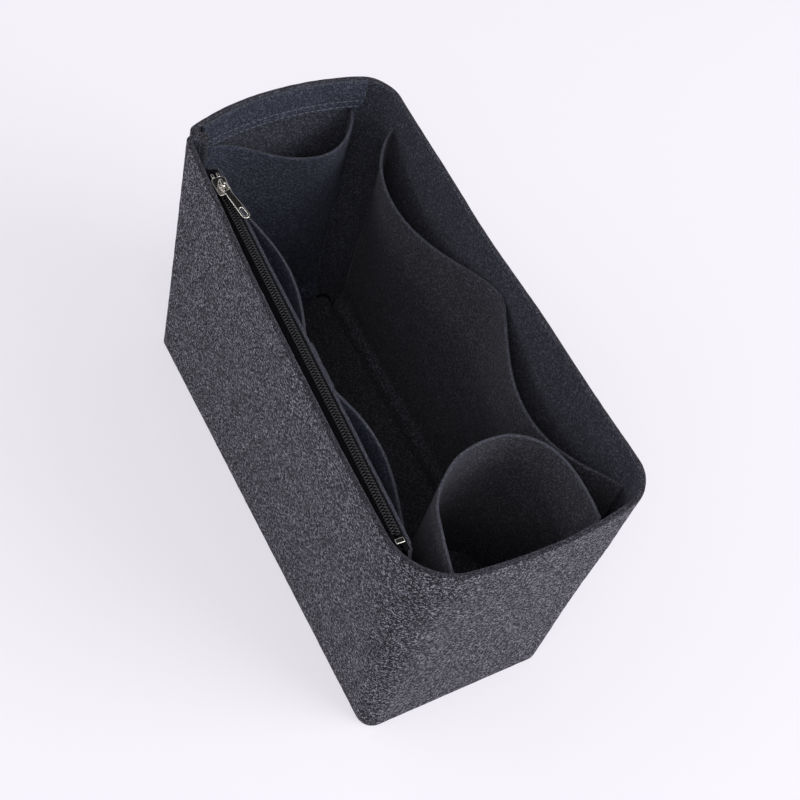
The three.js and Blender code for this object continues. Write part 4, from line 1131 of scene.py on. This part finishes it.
def woven_tape_material():
    material, tree = new_material("black_woven_polyester_tape")
    where = add_node(tree, "ShaderNodeTexCoord").outputs["UV"]
    ribs = add_node(tree, "ShaderNodeTexWave", {
        "Vector": where,
        "Scale": WAVE_BANDS / (RIB_SPACING * MM),
        "Distortion": 0.6,
    }, bands_direction="DIAGONAL")
    colour = add_node(tree, "ShaderNodeMix", {
        "Factor": ribs.outputs["Fac"],
        "A": hex_colour("#060607"),
        "B": hex_colour("#131316"),
    }, data_type="RGBA")
    bump = add_node(tree, "ShaderNodeBump", {
        "Strength": 0.6,
        "Distance": RIB_DEPTH * MM,
        "Height": ribs.outputs["Fac"],
    })
    finish_material(tree, add_node(tree, "ShaderNodeBsdfPrincipled", {
        "Base Color": colour.outputs["Result"],
        "Roughness": 0.8,
        "Specular IOR Level": 0.08,
        "Normal": bump.outputs[0],
    }))
    return material


woven_tape = woven_tape_material()


def tape_section(x, way, leg_depth):
    """Points down one cross-section of a tape. way is -1 at the wall and 1 at the panel."""
    s = lerp(ZIP_MARGIN_FAR, BASE_LENGTH - ZIP_MARGIN_NEAR, x / chain_length)
    flat = [zip_point(x, way * y, -FIT_GAP - TAPE) for y in (COIL_INNER, TAPE_BEND)]
    leg = [
        place(from_start(FRONT, s), zip_height - drop, leg_depth(s, zip_height - drop))
        for drop in (2 * TAPE + TAPE_BEND, TAPE_LEG / 2, TAPE_LEG)
    ]
    return [Vector(p) for p in smooth_through([np.array(p) for p in flat + leg], TAPE_STEPS_DOWN)]


def weave_tape(name, way, leg_depth, node):
    stations = spread(-TAPE_END, chain_length + TAPE_END, TAPE_STEPS_ALONG)
    lines = [tape_section(x, way, leg_depth) for x in stations]
    piece = add_piece(name, grid_mesh(name, lines), (woven_tape,), replaces=[node])
    solid = piece.modifiers.new("thickness", "SOLIDIFY")
    solid.thickness = TAPE * MM
    solid.offset = way


weave_tape("tape_wall_side", -1, lambda s, z: FELT + FIT_GAP + TAPE, "zip_tape_wall_side")
weave_tape("tape_pocket_side", 1, lambda s, z: panel_depth(s, z) - FIT_GAP - TAPE, "zip_tape_pocket_side")

# %% [markdown]
# ## Coils
# A coil zip's teeth are one nylon wire a side, wound into a flat spiral, and the heads of the two spirals
# lock in the middle. A number 3 chain has a turn every 1.41 mm. The turns could be a bump, but they give the
# zip its beaded line, so each coil is a real tube that winds round a flattened section.

# %% Coils
COIL_PITCH = 1.41
WIRE = 0.62
COIL_OUTER = CHAIN_WIDTH / 2
HEAD_REACH = 0.05  # the heads reach past the middle, between those of the other coil
HEAD_STEEPNESS = 0.12  # how much the turns differ from plain ovals
TURN_SIDES, WIRE_SIDES = 18, 6
NYLON_PATCHES = 1.2  # spacing of slightly duller patches


def nylon_material():
    material, tree = new_material("black_nylon_wire")
    wear = add_node(tree, "ShaderNodeTexNoise", {
        "Vector": add_node(tree, "ShaderNodeTexCoord").outputs["Object"],
        "Scale": 1 / (NYLON_PATCHES * MM),
    })
    colour = add_node(tree, "ShaderNodeMix", {
        "Factor": wear.outputs["Fac"],
        "A": hex_colour("#101012"),
        "B": hex_colour("#232327"),
    }, data_type="RGBA")
    gloss = add_node(tree, "ShaderNodeMapRange", {
        "Value": wear.outputs["Fac"],
        "To Min": 0.3,
        "To Max": 0.5,
    })
    finish_material(tree, add_node(tree, "ShaderNodeBsdfPrincipled", {
        "Base Color": colour.outputs["Result"],
        "Roughness": gloss.outputs[0],
        "IOR": 1.53,
    }))
    return material


def tube_mesh(name, runs, radius, sides):
    """Round tubes along runs of points, each a list of (centre, across, upward), in millimetres."""
    mesh = bpy.data.meshes.new(name)
    build = bmesh.new()
    uv_layer = build.loops.layers.uv.new("UVMap")
    for run in runs:
        rings = [
            [
                build.verts.new((
                    centre
                    + across * radius * math.cos(2 * math.pi * k / sides)
                    + upward * radius * math.sin(2 * math.pi * k / sides)
                ) * MM)
                for k in range(sides)
            ]
            for centre, across, upward in run
        ]
        lengths = running_lengths([centre for centre, _, _ in run])
        for r in range(len(rings) - 1):
            for k in range(sides):
                n = (k + 1) % sides
                face = build.faces.new((rings[r][k], rings[r][n], rings[r + 1][n], rings[r + 1][k]))
                face.smooth = True
                for loop, (ring, turn) in zip(face.loops, ((r, k), (r, k + 1), (r + 1, k + 1), (r + 1, k))):
                    loop[uv_layer].uv = (lengths[ring] * MM, 2 * math.pi * radius * turn / sides * MM)
        build.faces.new(list(reversed(rings[0])))
        build.faces.new(rings[-1])
    bmesh.ops.recalc_face_normals(build, faces=build.faces)
    build.to_mesh(mesh)
    build.free()
    return mesh


def coil_run(way):
    """The wire's centreline, with the directions across it. The two coils are half a turn apart."""
    inner, outer = -HEAD_REACH, COIL_OUTER - WIRE / 2
    middle, half_width = (inner + outer) / 2, (outer - inner) / 2
    half_height = CHAIN_HEIGHT / 2 - WIRE / 2
    start = STOP_LENGTH + FIT_GAP + WIRE / 2
    turns = int((chain_length - 2 * start) / COIL_PITCH - 0.5)
    run = []
    for step in range(turns * TURN_SIDES + 1):
        angle = 2 * math.pi * step / TURN_SIDES
        x = start + COIL_PITCH * (step / TURN_SIDES + (0.5 if way > 0 else 0))
        # a flattened loop: steep at the head and the back, level above and below
        y = way * (middle - half_width * math.cos(angle) * (1 + HEAD_STEEPNESS * math.sin(angle) ** 2))
        z = CHAIN_HEIGHT / 2 + half_height * math.sin(angle)
        outward = zip_y * -way * math.cos(angle) * half_height + zip_z * math.sin(angle) * half_width
        run.append((zip_point(x, y, z), zip_x, outward.normalized()))
    return run


black_nylon = nylon_material()
for name, way in (("wall_side", -1), ("pocket_side", 1)):
    mesh = tube_mesh("coil_" + name, [coil_run(way)], WIRE / 2, WIRE_SIDES)
    add_piece("coil_" + name, mesh, (black_nylon,), replaces=["zip_coil_" + name])
    print(f"coil on the {name}: {len(mesh.polygons)} faces")

# %% [markdown]
# ## Slider, stops and pull tab
# The slider and its tab are die-cast zinc with bright nickel plating. Polished metal shows its surroundings:
# the flat faces reflect the dark ceiling and the rounded edges pick up the lamps. That bright outline is most
# of what the photograph shows of them. Each is a set of flat slabs cut from outlines, with holes where the
# real one has them. A Bevel modifier stops where corner points lie close together, so the rounded edge is
# built with the slab: rings that step in along each outline as they go up.

# %% Nickel plating
BUFFING = 2.5  # spacing of faint marks that polishing and use leave


def nickel_material():
    material, tree = new_material("bright_nickel_plating")
    marks = add_node(tree, "ShaderNodeTexNoise", {
        "Vector": add_node(tree, "ShaderNodeTexCoord").outputs["Object"],
        "Scale": 1 / (BUFFING * MM),
        "Detail": 4,
    })
    gloss = add_node(tree, "ShaderNodeMapRange", {
        "Value": marks.outputs["Fac"],
        "To Min": 0.08,
        "To Max": 0.2,
    })
    colour = add_node(tree, "ShaderNodeMix", {
        "Factor": marks.outputs["Fac"],
        "A": hex_colour("#cbc8c2"),
        "B": hex_colour("#e2ded6"),
    }, data_type="RGBA")
    finish_material(tree, add_node(tree, "ShaderNodeBsdfPrincipled", {
        "Base Color": colour.outputs["Result"],
        "Metallic": 1.0,
        "Roughness": gloss.outputs[0],
    }))
    return material


bright_nickel = nickel_material()


# %% Slabs of metal
ROUND_HANDLE = 0.5523  # handle of a Bezier quarter circle, as a share of its radius
ROUND_STEPS = 5  # faces round an edge
CORNER_STEPS = 6  # faces round a corner of an outline


def rounded_outline(corners):
    """A closed outline from corners given as (x, y, radius)."""
    points = [complex(x, y) for x, y, _ in corners]
    outline_points = []
    for k, (_, _, radius) in enumerate(corners):
        if not radius:
            outline_points.append(points[k])
            continue
        before, after = points[k - 1] - points[k], points[(k + 1) % len(points)] - points[k]
        a, b = points[k] + before / abs(before) * radius, points[k] + after / abs(after) * radius
        handle_a, handle_b = lerp(a, points[k], ROUND_HANDLE), lerp(b, points[k], ROUND_HANDLE)
        outline_points += [bezier(a, handle_a, handle_b, b, share) for share in spread(0, 1, CORNER_STEPS)]
    return outline_points


def facing_out(points):
    """The way out of the metal at each point, longer at corners so that the bands keep their width."""
    ways = []
    for k, here in enumerate(points):
        before, after = here - points[k - 1], points[(k + 1) % len(points)] - here
        a, b = -1j * before / abs(before), -1j * after / abs(after)
        ways.append((a + b) / (1 + (a * b.conjugate()).real))
    return ways


def add_slab(build, outlines, low, high, rounding, place_it):
    """A slab between two heights with rounded edges. The first outline is its rim, the others are holes."""
    start = len(build.verts)
    quarter = [math.radians(angle) for angle in spread(0, 90, ROUND_STEPS)]
    bands = [(rounding * (1 - math.sin(a)), low + rounding * (1 - math.cos(a))) for a in quarter]
    bands += [(inset, low + high - z) for inset, z in reversed(bands)]
    ends = ([], [])
    for number, points in enumerate(outlines):
        turn = sum((points[k - 1].conjugate() * p).imag for k, p in enumerate(points))
        if (turn < 0) == (number == 0):
            points = points[::-1]
        ways = facing_out(points)
        rings = [
            [build.verts.new((q.real, q.imag, z)) for q in (p - way * inset for p, way in zip(points, ways))]
            for inset, z in bands
        ]
        for lower, upper in zip(rings, rings[1:]):
            for k in range(len(points)):
                build.faces.new((lower[k - 1], lower[k], upper[k], upper[k - 1])).smooth = True
        for end, ring in zip(ends, (rings[0], rings[-1])):
            end.extend(build.edges.get((ring[k - 1], ring[k])) for k in range(len(points)))
    for end in ends:
        bmesh.ops.triangle_fill(build, use_beauty=True, edges=end)
    bmesh.ops.transform(build, matrix=place_it, verts=build.verts[start:])


def cast_metal(name, slabs, body, node):
    """One piece of plated metal from slabs, each (outlines, low, high, rounding, place_it)."""
    build = bmesh.new()
    for slab in slabs:
        build.verts.ensure_lookup_table()
        add_slab(build, *slab)
    bmesh.ops.scale(build, vec=(MM, MM, MM), verts=build.verts)
    bmesh.ops.recalc_face_normals(build, faces=build.faces)
    mesh = bpy.data.meshes.new(name)
    build.to_mesh(mesh)
    build.free()
    print(f"{name}: {len(slabs)} slabs, {len(mesh.polygons)} faces")
    return add_piece(name, mesh, (bright_nickel,), body, [node])


# %% Slider
SLIDER_LENGTH, PLATE = 10, 0.8
MOUTH_WIDTH, TAIL_WIDTH, KEEL_WIDTH = 7, 5.8, 4.4
MOUTH_ROUND, TAIL_ROUND = 2.2, 1.2
LIP_WIDTH, POST_WIDTH, POST_LENGTH = 0.7, 0.5, 3
CROWN_LENGTH, CROWN_WIDTH, CROWN_OPENING, CROWN_STRAP = 4.8, 1.4, 1.7, 0.8
CROWN_INNER_ROUND, CROWN_OUTER_ROUND = 0.5, 1
PLATE_EDGE, KEEL_EDGE, POST_EDGE, LIP_EDGE, CROWN_EDGE = 0.38, 0.3, 0.05, 0.15, 0.35  # rounded edges
SUNK = 0.3  # how deep posts and lips reach into a plate
PLATE_SEAT = CHAIN_HEIGHT + FIT_GAP
PLATE_TOP, KEEL_TOP = PLATE_SEAT + PLATE, -2 * FIT_GAP - TAPE
LIP_INNER = CHAIN_WIDTH / 2 + FIT_GAP

zip_frame = Matrix((zip_x, zip_y, zip_z)).transposed().to_4x4()
slider_frame = Matrix.Translation(zip_point(SLIDER_CENTRE, 0, 0)) @ zip_frame
slider_half = SLIDER_LENGTH / 2


def plate_outline(mouth, tail, mouth_round, tail_round):
    return rounded_outline((
        (-slider_half, -mouth / 2, mouth_round), (slider_half, -tail / 2, tail_round),
        (slider_half, tail / 2, tail_round), (-slider_half, mouth / 2, mouth_round),
    ))


def bar_outline(length, low, high):
    left, right = -length / 2, length / 2
    return rounded_outline(((left, low, 0), (right, low, 0), (right, high, 0), (left, high, 0)))


crown_half, crown_top = CROWN_LENGTH / 2, CROWN_OPENING + CROWN_STRAP
crown_outline = rounded_outline((
    (-crown_half, -PLATE / 2, 0), (-crown_half + CROWN_STRAP, -PLATE / 2, 0),
    (-crown_half + CROWN_STRAP, CROWN_OPENING, CROWN_INNER_ROUND),
    (crown_half - CROWN_STRAP, CROWN_OPENING, CROWN_INNER_ROUND),
    (crown_half - CROWN_STRAP, -PLATE / 2, 0), (crown_half, -PLATE / 2, 0),
    (crown_half, crown_top, CROWN_OUTER_ROUND), (-crown_half, crown_top, CROWN_OUTER_ROUND),
))
upright = Matrix.Translation((0, 0, PLATE_TOP)) @ Matrix.Rotation(math.pi / 2, 4, "X")
lip_length = SLIDER_LENGTH - 2 * MOUTH_ROUND
top_plate = plate_outline(MOUTH_WIDTH, TAIL_WIDTH, MOUTH_ROUND, TAIL_ROUND)
keel_plate = plate_outline(KEEL_WIDTH, KEEL_WIDTH, TAIL_ROUND, TAIL_ROUND)
post = bar_outline(POST_LENGTH, -POST_WIDTH / 2, POST_WIDTH / 2)
lips = (
    bar_outline(lip_length, LIP_INNER, LIP_INNER + LIP_WIDTH),
    bar_outline(lip_length, -LIP_INNER - LIP_WIDTH, -LIP_INNER),
)
cast_metal(
    "slider_body",
    [
        ([top_plate], PLATE_SEAT, PLATE_TOP, PLATE_EDGE, slider_frame),
        ([keel_plate], KEEL_TOP - PLATE, KEEL_TOP, KEEL_EDGE, slider_frame),
        ([post], KEEL_TOP - SUNK, PLATE_TOP - SUNK, POST_EDGE, slider_frame),
        *(([lip], 0, PLATE_TOP - SUNK, LIP_EDGE, slider_frame) for lip in lips),
        ([crown_outline], -CROWN_WIDTH / 2, CROWN_WIDTH / 2, CROWN_EDGE, slider_frame @ upright),
    ],
    "slider",
    "zip_slider",
)

# %% Pull tab
TAB_LENGTH, TAB_THICKNESS, TAB_EYE_WIDTH, TAB_NECK_WIDTH, TAB_TIP_WIDTH = 20, 1, 4.5, 3.2, 4.2
TAB_ARM, TAB_BAR, TAB_EYE_LENGTH, TAB_SLOT_LENGTH, TAB_SLOT_WIDTH = 0.75, 0.9, 3.6, 4.5, 1.6
TAB_YAW, TAB_DROOP = 12, 3  # degrees, the loose tab lies aslant to the chain
TAB_END_ROUND, SHOULDER_ROUND, NECK_ROUND = 0.6, 0.7, 0.5  # outer corners, from the bar to the neck
EYE_BAR_ROUND, EYE_FAR_ROUND = 0.3, 0.6
TIP_SPARE, SLOT_SPARE = 0.05, 0.02  # keep two full quarter circles from meeting in one point
TAB_EDGE = 0.42

neck, tip = TAB_EYE_LENGTH + 2 * TAB_ARM, TAB_TIP_WIDTH / 2
slot_end = TAB_LENGTH - tip + TAB_SLOT_WIDTH / 2
eye_half, slot_half = TAB_EYE_WIDTH / 2 - TAB_ARM, TAB_SLOT_WIDTH / 2


def mirrored(corners):
    """Corners given on one side of the tab's middle line, and then the same ones on the other side."""
    return (*corners, *((x, -y, radius) for x, y, radius in reversed(corners)))


strap = rounded_outline(mirrored((
    (-TAB_BAR / 2, -TAB_EYE_WIDTH / 2, TAB_END_ROUND),
    (TAB_EYE_LENGTH, -TAB_EYE_WIDTH / 2, SHOULDER_ROUND),
    (neck, -TAB_NECK_WIDTH / 2, NECK_ROUND),
    (TAB_LENGTH, -tip, tip - TIP_SPARE),
)))
eye = rounded_outline(mirrored((
    (TAB_BAR / 2, -eye_half, EYE_BAR_ROUND),
    (TAB_EYE_LENGTH, -eye_half, EYE_FAR_ROUND),
)))
slot = rounded_outline(mirrored((
    (slot_end - TAB_SLOT_LENGTH, -slot_half, slot_half - SLOT_SPARE),
    (slot_end, -slot_half, slot_half - SLOT_SPARE),
)))
tab_frame = (
    slider_frame
    @ Matrix.Translation((0, 0, PIVOT_HEIGHT))
    @ Matrix.Rotation(math.radians(TAB_YAW), 4, "Z")
    @ Matrix.Rotation(math.radians(TAB_DROOP), 4, "Y")
)
tab_slab = ([strap, eye, slot], -TAB_THICKNESS / 2, TAB_THICKNESS / 2, TAB_EDGE, tab_frame)
cast_metal("tab_strap", [tab_slab], "pull_tab", "zip_pull_tab")

# %% Stops
STOP_ROUND = 0.4


def stop_slab(x, low, high):
    corners = ((x, low), (x + STOP_LENGTH, low), (x + STOP_LENGTH, high), (x, high))
    outline_points = rounded_outline([(a, b, STOP_ROUND) for a, b in corners])
    return ([outline_points], 0, CHAIN_HEIGHT, STOP_ROUND, Matrix.Translation(zip_origin) @ zip_frame)


coil_edge = CHAIN_WIDTH / 2
for name, slab in (
    ("top_stop_wall_side", stop_slab(0, -coil_edge, -COIL_INNER)),
    ("top_stop_pocket_side", stop_slab(0, COIL_INNER, coil_edge)),
    ("bottom_stop", stop_slab(chain_length - STOP_LENGTH, -coil_edge, coil_edge)),
):
    cast_metal("nickel_" + name, [slab], "organizer", "zip_" + name)

# %% [markdown]
# ## Stitches
# The CAD model has each row of stitching as one run of thread. The eye sees single lockstitches: a short
# length of thread that lies on the felt and dives into it at both ends. Each stitch is a small bent tube, and
# a row repeats it at the stitch length of a heavy sewing machine, about 3 mm.

# %% Thread
STITCH_PITCH, STITCH_LENGTH = 3.0, 2.5
THREAD_RADIUS = 0.23
STITCH_RISE, STITCH_SINK = 0.12, 0.35  # of its middle above the face, and of its ends below
STITCH_STEPS, THREAD_SIDES = 6, 6
PLY_SPACING = 0.9  # twist of the thread, drawn coarser than the real 0.5 mm so that it shows
PLY_DEPTH = 0.08


def thread_material(name, dark, pale):
    material, tree = new_material(name)
    ply = add_node(tree, "ShaderNodeTexWave", {
        "Vector": add_node(tree, "ShaderNodeTexCoord").outputs["UV"],
        "Scale": WAVE_BANDS / (PLY_SPACING * MM),
    }, bands_direction="DIAGONAL")
    colour = add_node(tree, "ShaderNodeMix", {
        "Factor": ply.outputs["Fac"],
        "A": hex_colour(dark),
        "B": hex_colour(pale),
    }, data_type="RGBA")
    bump = add_node(tree, "ShaderNodeBump", {
        "Strength": 0.5,
        "Distance": PLY_DEPTH * MM,
        "Height": ply.outputs["Fac"],
    })
    finish_material(tree, add_node(tree, "ShaderNodeBsdfPrincipled", {
        "Base Color": colour.outputs["Result"],
        "Roughness": 0.6,
        "Sheen Weight": 0.1,
        "Normal": bump.outputs[0],
    }))
    return material


sewing_thread = thread_material("dark_polyester_thread", "#25252b", "#55565f")
facing_thread = thread_material("grey_polyester_thread_of_the_facing", "#3b3c47", "#6c6d7b")


def stitch_runs(faces):
    """Runs for single stitches along a line of (point, normal) on the felt's face."""
    points = [point for point, _ in faces]
    lengths = np.array(running_lengths(points))
    lengths -= lengths[0]
    count = int(lengths[-1] / STITCH_PITCH)
    spare = (lengths[-1] - count * STITCH_PITCH) / 2

    def at(length):
        k = min(max(int(np.searchsorted(lengths, length)) - 1, 0), len(faces) - 2)
        share = (length - lengths[k]) / (lengths[k + 1] - lengths[k])
        point = faces[k][0].lerp(faces[k + 1][0], share)
        return point, faces[k][1].lerp(faces[k + 1][1], share).normalized()

    runs = []
    for k in range(count):
        middle = spare + (k + 0.5) * STITCH_PITCH
        run = []
        for share in spread(-1, 1, STITCH_STEPS):
            point, normal = at(middle + share * STITCH_LENGTH / 2)
            along = at(middle + STITCH_LENGTH / 2)[0] - at(middle - STITCH_LENGTH / 2)[0]
            lift = lerp(STITCH_RISE, -STITCH_SINK, share**4)
            run.append((point + normal * lift, normal.cross(along).normalized(), normal))
        runs.append(run)
    return runs


def sew_row(node, faces, thread=sewing_thread):
    """Stitches that stand for one run of thread in the CAD model."""
    name = "sewn_" + node
    mesh = tube_mesh(name, stitch_runs(faces), THREAD_RADIUS, THREAD_SIDES)
    add_piece(name, mesh, (thread,), replaces=[node])


def on_wall(side, s, z, depth):
    """A point so deep inside the wall and the direction from there into the box."""
    here, inner = (place(from_start(side, s), z, d) for d in (depth, depth + 1))
    return here, (inner - here).normalized()


# %% [markdown]
# Rows along the wall hold the facing and the tapes, and upright rows hold the pockets, the panel and the
# loop. One row runs up the sewn corner and one round the base's lip.

# %% Rows of stitching
ROW_END = 1.5  # rows stop short of an edge
FACING_STATIONS, UPRIGHT_STATIONS, TAPE_STATIONS, LIP_STATIONS = 40, 60, 80, 500  # points that a row follows
for name, z in zip(("upper", "lower"), facing_rows):
    begin, end = FACING_MARGIN + ROW_END, BASE_WIDTH - FACING_MARGIN - ROW_END
    face = facing_depth(z) + THIN_FELT
    stations = spread(begin, end, FACING_STATIONS)
    sew_row("facing_stitch_" + name, [on_wall(FAR_END, s, z, face) for s in stations], facing_thread)


def upright_row(node, side, s, low, high, face):
    sew_row(node, [on_wall(side, s, z, face(z)) for z in spread(low, high, UPRIGHT_STATIONS)])


pocket_rows = (
    (front_pocket, ("front_pocket_stitch_far", "front_pocket_stitch_middle", "front_pocket_stitch_near")),
    (back_pocket, ("back_pocket_stitch_near", "back_pocket_stitch_middle", "back_pocket_stitch_far")),
    (end_pocket, ("end_pocket_stitch_back", "end_pocket_stitch_front")),
)
for pocket, nodes in pocket_rows:
    for node, s in zip(nodes, pocket_seams(pocket)):
        upright_row(
            node, pocket["side"], s, LIP_CLEAR, pocket["top"](s) - ROW_END,
            lambda z, pocket=pocket, s=s: pocket["under"](s, z) + THIN_FELT - GROOVE_DEPTH,
        )

for node, s in (("far", panel_start + PANEL_LAND / 2), ("near", panel_end - PANEL_LAND / 2)):
    upright_row(
        "zip_panel_stitch_" + node, FRONT, s, LIP_CLEAR, panel_top_at(s) - ROW_END,
        lambda z, s=s: panel_depth(s, z) + THIN_FELT - GROOVE_DEPTH,
    )

TAPE_ROW_SHARE = 0.75  # how far down the tape its row lies
leg_row = zip_height - TAPE_LEG * TAPE_ROW_SHARE
leg_stations = spread(ZIP_MARGIN_FAR, BASE_LENGTH - ZIP_MARGIN_NEAR, TAPE_STATIONS)
sew_row("zip_stitch_wall_side", [
    on_wall(FRONT, s, leg_row, FELT + FIT_GAP + TAPE) for s in leg_stations
])
sew_row("zip_stitch_pocket_side", [
    (point, -normal)
    for point, normal in (
        on_wall(FRONT, s, leg_row, panel_depth(s, leg_row) - FIT_GAP - TAPE) for s in leg_stations
    )
])

LOOP_ROW_SHARE = 0.6  # how far from the fold each row lies, as a share of the sewn end
for node, s in (
    ("front", LOOP_MARGIN_FRONT + LOOP_TAB * LOOP_ROW_SHARE),
    ("back", BASE_WIDTH - LOOP_MARGIN_BACK - LOOP_TAB * LOOP_ROW_SHARE),
):
    upright_row(
        "loop_stitch_" + node, NEAR_END, s, LOOP_BOTTOM + ROW_END, HEIGHT - LOOP_DROP - ROW_END,
        lambda z: FELT + FIT_GAP + THIN_FELT,
    )

# %% [markdown]
# The last two rows close the box: one goes round the base's turned-up lip, and one runs up the turned-in ends
# of the wall at the sewn corner.

# %% Base seam and corner seam
SEAM_ROW_HEIGHT = (FELT + BASE_LIP) / 2
lip_faces = []
for u in spread(0, SIDES, LIP_STATIONS):
    here, inner = (place(u, SEAM_ROW_HEIGHT, d, SEWN_CORNER_REACH) for d in (lip_inner, lip_inner + 1))
    lip_faces.append((here, (inner - here).normalized()))
sew_row("base_seam_stitch", lip_faces)

corner_faces = []
for z in spread(LIP_CLEAR + ROW_END, HEIGHT - ROW_END, UPRIGHT_STATIONS):
    apex, inward, _, tangent = seam(z)
    aside = -1j * inward
    row = apex + inward * (tangent + SEAM_ALLOWANCE / 2) + aside * (FIT_GAP / 2 + FELT)
    corner_faces.append((vector(row + SHIFT, z), vector(aside, 0)))
sew_row("corner_seam_stitch", corner_faces)

# %% [markdown]
# ## The flat cuts
# Every piece of felt and tape is cut flat and then bent, folded or hung. Felt doesn't stretch when it is
# bent, so the length of each grid's lines is the size of its cut.

HOLDS = {  # how each sheet is held, and by what
    "felt_wall": ("folded", None),
    "felt_base": ("folded", None),
    "facing_strip": ("hung", "felt_wall"),
    "zip_panel": ("hung", "felt_wall"),
    "front_slip": ("hung", "zip_panel"),
    "back_slip": ("hung", "felt_wall"),
    "end_slip": ("hung", "felt_wall"),
    "felt_loop": ("folded", "felt_wall"),
    "tape_wall_side": ("folded", "felt_wall"),
    "tape_pocket_side": ("folded", "zip_panel"),
}
for name, (held, holder) in HOLDS.items():
    width, length, area = cuts[name]
    area = min(area, width * length)
    print(f"{name}: cut {width:.0f} x {length:.0f} mm, area {area / 100:.0f} square centimetres, {held}")
